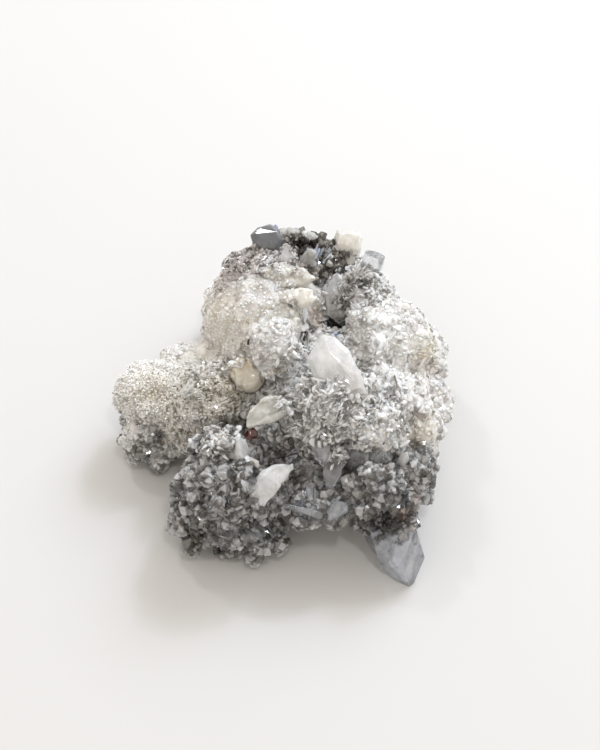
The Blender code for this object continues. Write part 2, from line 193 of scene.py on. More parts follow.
# name: (centre, radius, colour, strength): places where the growth has a stain or is cloudier, and painted
# shade in holes, gaps, hollows and undersides
STAINS = {
    "dome_side_cream": ((-16, 6.8, 24.4), 5.5, "#f0e7d3", 0.55),
    "dome_mid_white": ((-6.1, 5.5, 30.6), 4.6, "#fbf9f4", 0.65),
    "dome_low_cream": ((-9.0, 0.5, 26.5), 4.0, "#efe8d8", 0.4),
    "dome_left_lilac": ((-14.5, 11.0, 27.5), 3.4, "#c9bdb6", 0.5),
    "front_right_brown": ((15.5, -28.5, 13.5), 4.8, "#4a4037", 0.7),
    "dome_top_lilac": ((-10.6, 12.9, 30.3), 4.5, "#a99e98", 0.6),
    "ridge_top_dark": ((2.2, 19.7, 28.8), 4.0, "#3d352b", 0.8),
    "ridge_side_brown": ((10.2, 11.6, 27.8), 3.2, "#4d4232", 0.6),
    "recess_brown": ((2.7, 5.4, 23.9), 3.6, "#a38f82", 0.7),
    "recess_grey": ((7.1, 8.5, 25.1), 4.0, "#b5b1ac", 0.7),
    # Painted shade: a near-black spot where the hole in the boulder lies in shadow.
    "boulder_hole_painted_shade": ((-8.3, -6.8, 33.1), 0.9, "#1d1814", 0.95),
    "boulder_dark": ((-2.9, -8.2, 31.0), 1.1, "#5a544c", 0.6),
    # Painted shade: darkened where the gap between the boulder and the great blade lies in shadow.
    "blade_gap_painted_shade": ((1.0, -3.0, 29.4), 1.7, "#3d3730", 0.85),
    "orange_streak": ((-12.1, -7.7, 24.1), 1.4, "#c98a4b", 0.6),
    "saddle_tan": ((-13, -9, 21), 6.0, "#c9baa1", 0.45),
    "left_crust": ((-31.0, -11.1, 11.6), 4.5, "#e9e6e1", 0.6),
    "left_dome_cream": ((-25.5, -6.2, 18.2), 5.0, "#f0e4cf", 0.5),
    # Painted shade with a brown tint, on the underside of the front-left lobe where it curves in.
    "underside_painted_shade": ((-18.1, -31.3, 7.5), 4.0, "#4f4233", 0.7),
    # Painted shade: the hollows of the front cavity and of the cavern beside it, darkened where shadow
    # falls.
    "cavity_painted_shade": ((-4.6, -19.2, 24.0), 3.0, "#4a4038", 0.8),
    "cavern_painted_shade": ((-1.7, -19.8, 20.0), 4.0, "#5c534b", 0.7),
    "rust_low": ((17.8, -29.6, 14.7), 1.5, "#9a5b2c", 0.75),
    "rust_high": ((19.8, -26.6, 15.6), 1.1, "#8d5730", 0.7),
    "cream_high": ((22.9, -0.2, 21.9), 4.0, "#f3e6c2", 0.5),
    "cream_low": ((19.9, -13.8, 18.6), 4.0, "#eadcc2", 0.55),
    # Painted shade: darkened where the clear leg grows out of the mass.
    "leg_root_painted_shade": ((12.9, -31.0, 10.1), 3.2, "#3d3833", 0.85),
}

# name: (form, root, tip, width, thickness, roll in degrees about its length, finish)
BIG_CRYSTALS = {
    "clear_leg": ("point", (14.5, -25.0, 14.5), (19.4, -35.6, -1.4), 7.8, 6.4, 20, "leg"),
    "leg_side": ("point", (12.0, -26.0, 12.0), (15.6, -33.0, 2.2), 4.2, 3.6, 40, "slate"),
    "back_white": ("block", (7.6, 15.5, 22.0), (8.8, 21.4, 28.6), 4.8, 4.4, 15, "milky"),
    "ridge_white_a": ("block", (11.4, 12.6, 22.0), (13.4, 16.2, 28.4), 3.6, 3.2, 10, "clear"),
    "ridge_white_b": ("block", (13.0, 8.4, 21.0), (15.7, 12.6, 24.6), 4.0, 3.4, 30, "frosted"),
    "blue_face_a": ("blade", (-1.0, 9.6, 28.6), (-2.8, 14.6, 33.4), 3.4, 1.8, 5, "smoky"),
    "blue_face_b": ("blade", (1.0, 12.6, 25.0), (2.0, 14.4, 32.4), 3.2, 2.2, 0, "smoky"),
    "bridge_plate_a": ("blade", (-1.0, -28.2, 12.0), (8.2, -28.4, 15.4), 4.4, 2.2, 10, "clear"),
    "bridge_plate_b": ("blade", (6.4, -28.6, 10.8), (-2.4, -28.6, 16.2), 4.4, 2.0, 60, "clear"),
    "cavern_drop": ("point", (3.6, -18.6, 24.0), (4.0, -23.6, 19.6), 2.6, 2.2, 0, "clear"),
    "cavern_blade": ("blade", (6.2, -20.4, 21.0), (5.0, -25.2, 16.0), 3.2, 1.8, 0, "clear"),
    "clear_round_a": ("block", (10.4, -17.0, 19.0), (10.2, -22.4, 18.4), 3.8, 3.4, 15, "clear"),
    "clear_round_b": ("block", (13.2, -17.0, 19.0), (13.8, -22.2, 19.6), 3.4, 3.2, 35, "clear"),
    "spike": ("point", (17.0, -20.6, 14.6), (18.2, -21.4, 22.2), 1.9, 1.7, 0, "frosted"),
    "front_crest_b": ("blade", (-9.2, -23.0, 20.0), (-10.4, -21.2, 25.8), 3.2, 2.0, 40, "frosted"),
}

# Large crystals that are etched and melted: (smoothing rounds, how much of it fine crystals climb over)
ETCHED = {
    "back_white": (8, 0.66),
    "ridge_white_b": (2, 0.5),
    "blue_face_a": (2, 0.56),
    "blue_face_b": (2, 0.56),
}

# Crystals drawn as they are seen from the camera. The outline, the raised point of the front face and
# the root are (right, up) from the middle of the view. near is how near the camera the front face lies,
# rise how high its raised point stands, lean how far it turns to the right and up in degrees, rounds
# how often it is smoothed, and climbed how much of it from the root fine crystals climb over.
Sketch = namedtuple("Sketch", "outline near thickness peak rise lean rounds climbed root finish")
SKETCHES = {
    "great_blade": Sketch(
        ((1.0, 2.8), (3.5, 7.0), (5.7, 6.5), (8.2, 4.2), (10.2, -0.2), (11.2, -3.0), (8.4, -3.5),
         (5.0, -2.3), (2.2, -0.5)),
        near=22.5, thickness=3.4, peak=(4.9, 3.9), rise=0.6, lean=(-6, 4), rounds=0, climbed=0.2,
        root=(7.0, -3.6), finish="frosted",
    ),
    "blade_foot": Sketch(
        ((6.7, -2.2), (7.9, -0.5), (9.8, -0.7), (10.6, -2.2), (9.9, -3.9), (7.6, -4.0)),
        near=21.0, thickness=3.0, peak=(8.6, -1.6), rise=0.4, lean=(8, -10), rounds=2, climbed=0.2,
        root=(8.8, -4.0), finish="frosted",
    ),
    "white_tab": Sketch(
        ((3.3, 13.6), (2.6, 12.4), (0.7, 11.7), (-1.7, 11.9), (-3.8, 12.4), (-4.1, 14.1), (-2.1, 15.0),
         (0.3, 15.2), (2.2, 14.8)),
        near=13.5, thickness=2.4, peak=(0.4, 13.7), rise=0.3, lean=(0, 6), rounds=12, climbed=0.62,
        root=(-4.0, 13.4), finish="milky",
    ),
    "dome_face": Sketch(
        ((-8.3, 18.4), (-4.3, 19.4), (0.9, 18.7), (3.1, 16.9), (1.4, 15.0), (-2.8, 14.6), (-6.5, 15.6)),
        near=9.4, thickness=4.0, peak=(-1.6, 17.6), rise=0.3, lean=(6, -4), rounds=14, climbed=0.8,
        root=(-7.0, 16.0), finish="milky",
    ),
    "dome_shelf": Sketch(
        ((0.7, 12.5), (0.2, 10.9), (-0.5, 9.2), (-0.2, 7.6), (-2.1, 7.5), (-4.0, 9.2), (-4.9, 11.6),
         (-2.8, 13.3)),
        near=11.5, thickness=3.2, peak=(-2.4, 10.8), rise=0.5, lean=(-8, 0), rounds=12, climbed=0.92,
        root=(-4.6, 10.6), finish="milky",
    ),
    "thumb": Sketch(
        ((-9.3, -7.4), (-8.8, -5.9), (-7.6, -4.4), (-6.1, -3.5), (-3.7, -3.5), (-1.7, -4.6),
         (-1.3, -6.4), (-3.2, -7.4), (-5.2, -8.1), (-6.7, -8.8), (-8.3, -9.3), (-9.1, -8.8)),
        near=20.0, thickness=3.2, peak=(-5.6, -6.2), rise=0.4, lean=(-8, 4), rounds=8, climbed=0.32,
        root=(-1.6, -5.4), finish="greyish",
    ),
    "cream_block": Sketch(
        ((-12.5, 2.2), (-10.3, 3.4), (-7.4, 3.3), (-6.0, 1.7), (-6.2, -1.0), (-7.4, -2.7), (-9.3, -3.3),
         (-11.2, -2.6), (-12.5, -0.5)),
        near=14.2, thickness=4.6, peak=(-7.6, 0.8), rise=0.7, lean=(-10, 4), rounds=3, climbed=0.42,
        root=(-9.4, 3.2), finish="cream",
    ),
    "boulder_neck": Sketch(
        ((-6.6, 10.9), (-2.9, 12.4), (-0.2, 11.2), (0.7, 8.1), (-1.2, 5.0), (-5.2, 5.7), (-7.6, 7.9)),
        near=12.4, thickness=4.0, peak=(-2.6, 8.8), rise=0.7, lean=(-4, -4), rounds=12, climbed=1.0,
        root=(-3.0, 9.0), finish="milky",
    ),
    "lilac_cream": Sketch(
        ((-18.6, 0.5), (-16.8, 2.1), (-14.4, 2.6), (-12.2, 1.6), (-11.8, -0.9), (-13.2, -2.8),
         (-16.0, -3.0), (-17.9, -1.7)),
        near=11.0, thickness=5.0, peak=(-15.0, 0.2), rise=0.8, lean=(0, 0), rounds=12, climbed=0.7,
        root=(-15.0, 3.4), finish="lilac",
    ),
    "wedge": Sketch(
        ((-8.2, -18.3), (-7.1, -16.2), (-4.2, -15.0), (-1.0, -14.8), (-0.8, -16.0), (-2.4, -18.2),
         (-3.7, -19.5), (-5.4, -21.4), (-6.1, -22.9), (-7.6, -22.2), (-8.6, -20.9)),
        near=20.5, thickness=3.0, peak=(-4.8, -17.4), rise=0.4, lean=(8, 2), rounds=2, climbed=0.2,
        root=(-7.6, -22.0), finish="frosted",
    ),
    "lilac_crest": Sketch(
        ((-15.3, -11.1), (-14.6, -9.6), (-13.1, -8.8), (-11.9, -9.4), (-11.6, -11.3), (-9.1, -13.1),
         (-6.6, -14.8), (-7.1, -16.2), (-9.3, -15.1), (-11.8, -14.6), (-14.3, -14.5)),
        near=20.5, thickness=3.4, peak=(-12.4, -12.4), rise=0.6, lean=(4, 0), rounds=5, climbed=0.25,
        root=(-9.0, -16.0), finish="lilac",
    ),
    "top_grey": Sketch(
        ((-8.9, 25.2), (-7.6, 26.6), (-5.3, 27.3), (-3.7, 26.3), (-3.0, 24.0), (-4.1, 22.0),
         (-6.7, 21.8), (-8.3, 23.1)),
        near=4.0, thickness=4.4, peak=(-4.2, 25.2), rise=0.9, lean=(0, 14), rounds=0, climbed=0.5,
        root=(-6.4, 21.8), finish="slate",
    ),
    "top_ledge": Sketch(
        ((-4.4, 26.6), (-4.2, 25.2), (-1.4, 24.3), (2.0, 23.9), (3.4, 24.9), (2.6, 25.7), (0.6, 26.1),
         (-2.0, 26.7)),
        near=1.2, thickness=2.4, peak=(-0.8, 25.4), rise=0.3, lean=(0, 10), rounds=1, climbed=0.55,
        root=(-0.6, 24.0), finish="greyish",
    ),
    "recess_face": Sketch(
        ((4.5, 17.1), (6.8, 18.4), (9.3, 17.1), (9.8, 13.4), (9.1, 10.0), (6.6, 9.1), (4.6, 10.7),
         (3.9, 14.1)),
        near=3.4, thickness=4.0, peak=(6.4, 14.6), rise=0.7, lean=(6, 0), rounds=6, climbed=0.1,
        root=(7.6, 9.4), finish="smoky",
    ),
}

# Thin bright blades and streaks that lie on the skin, as the camera sees them. The near-black ones are
# painted shade in holes and gaps, and the blue ones are painted reflections of the cool window.
# name: (how many, middle as (right, up), spread as (right, up), direction in degrees from the right,
# spread of the direction, length, width, colour, clearness)
STREAKS = {
    "boulder_lamellae": (9, (0.1, 10.2), (1.0, 2.8), 84, 10, 3.2, 0.5, "#fdfdfc", 0.2),
    "left_streaks": (5, (-20.4, -3.1), (1.2, 0.8), 22, 8, 2.6, 0.35, "#ffffff", 0.3),
    "dome_lines": (7, (-5.8, 20.4), (1.6, 0.9), 48, 12, 1.6, 0.3, "#ffffff", 0.4),
    "ridge_lines": (5, (5.6, 21.0), (1.4, 1.2), 52, 12, 2.4, 0.35, "#f4f7ff", 0.5),
    # Painted reflections: blue-tinted laths standing for faces that mirror the cool window.
    "top_painted_reflection": (5, (-4.4, 24.8), (0.7, 1.2), 70, 14, 2.4, 0.8, "#a9b8da", 0.3),
    "ridge_painted_reflection": (6, (3.0, 21.8), (2.6, 1.2), 62, 20, 2.2, 0.7, "#c3cde0", 0.4),
    "gap_painted_reflection": (4, (5.9, 6.8), (0.9, 0.7), 20, 20, 1.7, 0.8, "#b9c6e6", 0.3),
    "needles": (3, (18.6, -14.4), (0.5, 0.6), 84, 5, 3.4, 0.4, "#ffffff", 0.4),
    "centre_blades": (46, (6.0, -6.4), (8.5, 4.6), 58, 42, 1.9, 0.5, "#fbfbfa", 0.35),
    "right_blades": (34, (17.0, -3.0), (6.0, 8.0), 75, 50, 1.7, 0.5, "#ffffff", 0.2),
    "saddle_blades": (26, (-14.0, -5.0), (5.5, 4.0), 40, 40, 1.3, 0.35, "#f6f0e4", 0.3),
    "cavern_blades": (22, (5.0, -14.0), (9.0, 3.4), 70, 55, 2.2, 0.6, "#e6ebf4", 0.6),
    "front_blades": (30, (-14.0, -22.0), (6.0, 6.0), 60, 60, 1.6, 0.6, "#eef0f2", 0.5),
    "bridge_blades": (20, (0.5, -22.5), (5.5, 2.6), 60, 55, 2.4, 0.8, "#dfe3ea", 0.7),
    "wedge_frays": (9, (-1.6, -15.4), (1.2, 0.7), 40, 30, 1.8, 0.5, "#eff2f8", 0.6),
    "cream_streaks": (4, (-9.2, -0.2), (1.6, 1.4), 62, 12, 3.2, 0.22, "#c98a45", 0.1),
    # Painted shade: near-black laths standing for the shadow in the boulder's hole.
    "boulder_hole_painted_shade": (3, (-9.0, 5.9), (0.15, 0.3), 80, 20, 1.1, 0.3, "#1d1814", 0.0),
    # Painted shade: dark laths standing for the shadow in the gap between the boulder and the great blade.
    "boulder_gap_painted_shade": (7, (0.9, 6.9), (0.4, 1.2), 75, 15, 1.6, 0.32, "#4a443c", 0.2),
    "right_speck": (1, (14.9, -12.2), (0.1, 0.1), 40, 10, 0.8, 0.5, "#23201c", 0.0),
    "right_line": (1, (17.2, -0.9), (0.1, 0.1), -72, 4, 2.6, 0.3, "#57534e", 0.0),
    "under_blades": (14, (-6.5, -28.4), (4.0, 1.6), -50, 30, 2.2, 0.7, "#9aa0a4", 0.6),
}

# The red-brown grain under the thumb: (middle, size, ways from the middle to its root and tip,
# roll in degrees, smoothing rounds)
GARNET = ((-8.1, -17.9, 22.2), 2.1, ((0.3, -0.3, 0.9), (-0.2, -0.5, 0.5)), 30, 3)

# finish: (colour at the root, darkened as painted shade where the crystal grows from the mass, colour at
# the tip, transmission at the root, transmission at the tip, roughness, subsurface, absorption density per
# metre)
FINISHES = {
    "clear": ("#8f8d8c", "#f1f3f6", 0.6, 0.9, 0.04, 0.6, 40),
    # The leg's near-black root is painted shade: the darkness seen into the clear crystal where it meets
    # the mass.
    "leg": ("#332f2b", "#eef2fb", 0.6, 0.75, 0.02, 0.7, 0),
    "smoky": ("#98938e", "#cfcdcb", 0.3, 0.45, 0.08, 0.8, 0),
    "slate": ("#5f5b57", "#909093", 0.45, 0.6, 0.04, 0.7, 0),
    "frosted": ("#dedbd8", "#f7f6f5", 0.3, 0.5, 0.08, 0.9, 0),
    "greyish": ("#b5b2aa", "#e9e7e1", 0.35, 0.55, 0.08, 0.9, 0),
    "milky": ("#dfd9d0", "#efebe3", 0.15, 0.35, 0.12, 1.0, 0),
    "cream": ("#d9c6a4", "#f0e8d9", 0.3, 0.5, 0.06, 0.9, 0),
    "lilac": ("#cfc7c3", "#ece7e4", 0.15, 0.35, 0.1, 0.9, 0),
}

# form: (width, thickness) of a fine crystal's cross-section at the root, under its point and at the tip,
# and how far along its length the point starts
DRUSE_FORMS = {
    "spire": ((1.0, 1.0), (0.96, 0.96), (0.12, 0.12), 0.62),
    "lath": ((1.0, 0.42), (0.96, 0.4), (0.4, 0.1), 0.8),
}

CORNERS = [(sx, sy) for sx in (-1, 1) for sy in (-1, 1)]
SIDES = (-1, 1)
# Each form starts as a box 1 wide, 1 thick and 1 long, rooted at z 0, and is cut by
# these planes: (direction faced, a point on the plane).
FORMS = {
    "block": [((sx, sy, 1.1), (sx * 0.36, sy * 0.36, 1)) for sx, sy in CORNERS],
    "point": [((sx, sy, 1.7), (0, 0, 1.0)) for sx, sy in CORNERS] + [((0, 0, 1), (0, 0, 0.93))],
    "blade": [((s, 0, 0.9), (s * 0.16, 0, 1)) for s in SIDES]
    + [((0, s, 0.35), (0, s * 0.16, 1)) for s in SIDES]
    + [((sx, sy, 0), (sx * 0.5, sy * 0.3, 0)) for sx, sy in CORNERS],
}

# The camera's own directions, the point of the layout that it looks at, and its lens, film and distance.
# The photo's height fits PHOTO_HEIGHT pixels at PIXELS_PER_MM.
ELEVATION = math.radians(55)
VIEW_RIGHT = Vector((1, 0, 0))
VIEW_UP = Vector((0, math.sin(ELEVATION), math.cos(ELEVATION)))
VIEW_NEAR = Vector((0, -math.cos(ELEVATION), math.sin(ELEVATION)))
VIEW_TARGET = Vector((0, 0, 14))
VIEW_AXES = Matrix((VIEW_RIGHT, VIEW_UP, VIEW_NEAR)).transposed()
LENS = 85.0
FILM = 36.0
PIXELS_PER_MM = 5.56
PHOTO_HEIGHT = 750
VIEW_DISTANCE = PHOTO_HEIGHT * LENS / FILM / PIXELS_PER_MM

# name: (place, size, power in watts, colour): a window behind and to the right, and small lamps that
# the faces glint in
LIGHTS = {
    "window": ((230, 300, 420), 300, 1.7, (0.86, 0.93, 1.0)),
    "glint_right": ((170, 270, 430), 60, 0.62, (0.66, 0.8, 1.0)),
    "glint_left": ((-190, 230, 450), 44, 0.36, (0.95, 0.97, 1.0)),
    "glint_front": ((60, -170, 520), 44, 0.36, (1.0, 0.97, 0.92)),
}
# Where the pale room is brightest, and its strength and colour on the dark and the bright side
ROOM_BRIGHT = Vector((0.25, 0.5, 0.8)).normalized()
ROOM_STRENGTH = (0.74, 0.95)
ROOM_COLOURS = ((1.0, 0.87, 0.74, 1), (1.0, 0.965, 0.92, 1))
PAPER_SIZE = 3.0

# lobe: how many soft faces it has all round, and how far out they lie as a share of its half axes
FACETED = {"dome": (26, 0.965), "dome_left": (20, 0.965), "left_dome": (20, 0.96)}
FACET_ROUNDS = 5
# The faces are formed between these shares of a lobe's half axes, each with how softly that ends, and
# no face reaches further round than this cosine
FACET_OUTER = (1.3, 0.15)
FACET_INNER = (0.75, 0.1)
FACET_ROUND = 0.2
# Milky parts are smoothed by their waxiness to this power, and lie this share less deep under the druse
WAX_POWER = 0.7
WAX_RISE = 0.7
# How much of a plain large crystal from its root fine crystals climb over
CLIMBED = 0.4
# An etched crystal's skin: height of its growth steps and their size, unevenness and the size of its
# bumps, and how far and how widely the steps are bent
STEP = 0.4
STEP_SIZE = (1.3, 1.3, 3.6)
UNEVEN = 0.3
UNEVEN_SCALE = 2.2
WARP = 0.8
WARP_SCALE = 2.5
# A drawn crystal's rims from back to front: (size as a share of the outline, place in its thickness)
SKETCH_RIMS = ((0.72, -1), (0.97, -0.45), (1.0, -0.2), (0.8, 0))

# How far in millimetres one look fades into the next, and the share at which its crystals begin and
# no longer stop
BLEND = 1.3
FADE = (0.15, 0.85)
# Spots tried for each fine crystal's cell, and how raggedly they stop climbing up a large crystal
TRIES = 3
CLIMB_FRAY = 0.05
# A fine crystal's size: its spread, the limits of that, and the ratio of its two widths
DRUSE_SPREAD = 0.25
DRUSE_LIMITS = (-0.6, 0.45)
DRUSE_SIDES = (0.8, 1.25)
# Transmission of a clear fine crystal, how much of its colour one has at its root and gains to its tip, as
# painted shade that darkens each crystal towards its root, and the palest colour any has
CLEAR_ONE = 0.92
ROOT_PAINTED_SHADE = 0.9
TIP_GAIN = 0.12
PALEST = 0.985
# How far inside the part's box every fine crystal stays, in metres
MARGIN = 1e-5
# A streak's buried share, height over the skin, size and rise from the skin
STREAK_BURIED = 0.4
STREAK_LIFT = 0.35
STREAK_SIZES = (0.6, 1.25)
STREAK_RISE = (0.05, 0.3)
# A stain reaches this many radii, and fades by this power
STAIN_REACH = 1.4
STAIN_FALL = 1.5

# The lobes and spots as arrays, with the number of each one's look
SKIN_PLACES = [*LOBES.values(), *SPOTS.values()]
SKIN_CENTRES = np.array([centre for centre, _, _ in SKIN_PLACES], float)
SKIN_HALVES = np.array([half for _, half, _ in SKIN_PLACES], float)
LOOK_NAMES = list(LOOKS)
SKIN_LOOKS = [LOOK_NAMES.index(SKINS.get(name, LOBES[name][2])) for name in LOBES]
SKIN_LOOKS += [LOOK_NAMES.index(look) for _, _, look in SPOTS.values()]
# Points worked on at a time, to save memory
CHUNK = 20000

# What has been grown: the mass, and each large crystal's triangles, their facing, its root and the
# reach of the fine crystals on it
GROWN = {"big": []}


def linear(hex_colour):
    """An sRGB hex colour as linear RGB."""
    parts = [int(hex_colour[i : i + 2], 16) / 255 for i in (1, 3, 5)]
    return tuple(c / 12.92 if c <= 0.04045 else ((c + 0.055) / 1.055) ** 2.4 for c in parts)


class ClusterSizes(bpy.types.PropertyGroup):
    crust_grain: FloatProperty(
        name="Crust grain",
        description="Grain of the mass that the fine crystals stand on",
        default=0.49 * MM,
        unit="LENGTH",
    )
    druse_depth: FloatProperty(
        name="Druse depth",
        description="How far the mass lies under the tips of the fine crystals",
        default=0.5 * MM,
        unit="LENGTH",
    )
    druse_size: FloatProperty(
        name="Druse size",
        description="Size of the fine crystals, as a share of their usual size",
        default=1.0,
        subtype="FACTOR",
    )
    bevel: FloatProperty(
        name="Worn edge",
        description="Width of the worn edge of a big crystal",
        default=0.16 * MM,
        unit="LENGTH",
    )
    soft_grain: FloatProperty(
        name="Soft grain",
        description="Grain of the big crystals whose edges are melted soft",
        default=0.22 * MM,
        unit="LENGTH",
    )
    wax_rounds: IntProperty(
        name="Wax rounds",
        description="Smoothing passes over the milky parts of the mass",
        default=66,
    )
    seed: IntProperty(
        name="Seed", description="Which random druse is grown", default=SEED
    )


class ClusterColours(bpy.types.PropertyGroup):
    floor: FloatVectorProperty(
        name="Paper",
        description="Colour of the paper that the cluster lies on",
        default=linear("#cdcbc9"),
        subtype="COLOR",
    )
    garnet: FloatVectorProperty(
        name="Garnet",
        description="Colour of the red-brown grain in the front cavity",
        default=linear("#4a1d12"),
        subtype="COLOR",
    )


def set_inputs(tree, node, **inputs):
    """Sets a node's inputs, by name or by i and their place. A value, a socket or a whole node is given:
    a node stands for its first output in use."""
    for name, value in inputs.items():
        socket = node.inputs[int(name[1:])] if name[1:].isdigit() else node.inputs[name.replace("_", " ")]
        if isinstance(value, bpy.types.Node):
            value = next(output for output in value.outputs if output.enabled)
        if isinstance(value, bpy.types.NodeSocket):
            tree.links.new(value, socket)
        else:
            socket.default_value = value


def add_node(tree, kind, settings=None, **inputs):
    """Adds a node with its own settings and its inputs."""
    node = tree.nodes.new(kind)
    for name, value in (settings or {}).items():
        setattr(node, name, value)
    set_inputs(tree, node, **inputs)
    return node


def new_material(name):
    """A material, its tree and its shader, with apophyllite's refraction."""
    made = bpy.data.materials.new(name)
    made.use_nodes = True
    tree = made.node_tree
    shader = tree.nodes["Principled BSDF"]
    set_inputs(tree, shader, IOR=1.535)
    return made, tree, shader


def per_mm(count):
    """A texture scale, for a pattern that repeats this often in a millimetre."""
    return count / MM


def druse_material():
    """Glassy apophyllite grown in a vug: flat faces with wet-looking glints, each crystal with its tint."""
    made, tree, shader = new_material("druse_apophyllite_grown")
    tint = add_node(tree, "ShaderNodeAttribute", {"attribute_name": "tint"})
    clear = add_node(tree, "ShaderNodeAttribute", {"attribute_name": "clearness"})
    place = add_node(tree, "ShaderNodeTexCoord").outputs["Object"]
    veil = add_node(tree, "ShaderNodeTexNoise", Vector=place, Scale=per_mm(1.2), Detail=3.0)
    cloud = add_node(
        tree, "ShaderNodeMapRange", Value=veil, From_Min=0.3, From_Max=0.7, To_Min=0.85, To_Max=1.08
    )
    colour = add_node(
        tree, "ShaderNodeVectorMath", {"operation": "SCALE"}, i0=tint.outputs["Color"], Scale=cloud
    )
    set_inputs(
        tree, shader, Base_Color=colour, Transmission_Weight=clear.outputs["Fac"], Roughness=0.07,
        Subsurface_Weight=0.7, Subsurface_Radius=(1.0, 0.95, 0.88), Subsurface_Scale=0.9 * MM,
    )
    return made


def cloudiness(tree, low, high, seen):
    """Brightness of crystal full of veils and healed cracks: clouds, streaks and thin bright cracks."""
    place = add_node(tree, "ShaderNodeTexCoord").outputs["Object"]
    cloud = add_node(
        tree, "ShaderNodeTexNoise", Vector=place, Scale=per_mm(0.3), Detail=5.0, Roughness=0.62
    )
    stretched = add_node(
        tree, "ShaderNodeMapping", Vector=place, Rotation=(0.5, 0.35, 0.2), Scale=(1.0, 0.6, 0.42)
    )
    streak = add_node(
        tree, "ShaderNodeTexNoise", Vector=stretched, Scale=per_mm(0.9), Detail=5.0, Roughness=0.65
    )
    crack = add_node(
        tree, "ShaderNodeTexVoronoi", {"feature": "DISTANCE_TO_EDGE"}, Vector=stretched,
        Scale=per_mm(0.8),
    )
    both = add_node(tree, "ShaderNodeMath", {"operation": "ADD"}, i0=cloud, i1=streak)
    body = add_node(
        tree, "ShaderNodeMapRange", Value=both, From_Min=0.75, From_Max=1.25, To_Min=low, To_Max=high
    )
    line = add_node(
        tree, "ShaderNodeMapRange", Value=crack, From_Min=0.0, From_Max=0.06, To_Min=seen, To_Max=0.0
    )
    total = add_node(tree, "ShaderNodeMath", {"operation": "ADD"}, i0=body, i1=line)
    return place, total, streak


def mass_material():
    """Massive apophyllite, cloudy with fine cracks: soft inside where it is milky, sugary elsewhere."""
    made, tree, shader = new_material("massive_apophyllite_etched")
    tint = add_node(tree, "ShaderNodeAttribute", {"attribute_name": "tint"})
    wax = add_node(tree, "ShaderNodeAttribute", {"attribute_name": "wax"})
    place, cloudy, streak = cloudiness(tree, 0.82, 1.1, 0.06)
    patch = add_node(tree, "ShaderNodeTexNoise", Vector=place, Scale=per_mm(0.16), Detail=3.0)
    lilac = add_node(
        tree, "ShaderNodeMapRange", Value=patch, From_Min=0.45, From_Max=0.62, To_Min=0.0, To_Max=0.7
    )
    sugar = add_node(tree, "ShaderNodeTexVoronoi", {"feature": "F1"}, Vector=place, Scale=per_mm(1.1))
    sugary = add_node(
        tree, "ShaderNodeMapRange", Value=sugar, From_Min=0.0, From_Max=0.8, To_Min=1.1, To_Max=0.7
    )
    grain = add_node(
        tree, "ShaderNodeMix", {"data_type": "FLOAT"}, i0=wax.outputs["Fac"], i2=sugary, i3=1.0
    )
    shade = add_node(tree, "ShaderNodeMath", {"operation": "MULTIPLY"}, i0=cloudy, i1=grain)
    washed = add_node(
        tree, "ShaderNodeMix", {"data_type": "RGBA", "blend_type": "MULTIPLY"}, i0=lilac,
        i6=tint.outputs["Color"], i7=(*linear("#dcd5d6"), 1),
    )
    colour = add_node(tree, "ShaderNodeVectorMath", {"operation": "SCALE"}, i0=washed, Scale=shade)
    depth = add_node(tree, "ShaderNodeMapRange", Value=wax.outputs["Fac"], To_Min=0.7, To_Max=0.55)
    fine = add_node(tree, "ShaderNodeTexNoise", Vector=place, Scale=per_mm(2.2), Detail=4.0)
    height = add_node(tree, "ShaderNodeMath", {"operation": "SUBTRACT"}, i0=fine, i1=sugar)
    relief = add_node(tree, "ShaderNodeBump", Height=height, Strength=depth, Distance=0.3 * MM)
    soft = add_node(
        tree, "ShaderNodeMapRange", Value=wax.outputs["Fac"], To_Min=0.6 * MM, To_Max=3.0 * MM
    )
    gloss = add_node(
        tree, "ShaderNodeMapRange", Value=streak, From_Min=0.4, From_Max=0.6, To_Min=0.22, To_Max=0.5
    )
    set_inputs(
        tree, shader, Base_Color=colour, Normal=relief, Roughness=gloss, Subsurface_Weight=0.9,
        Subsurface_Radius=(1.0, 0.92, 0.82), Subsurface_Scale=soft,
    )
    return made


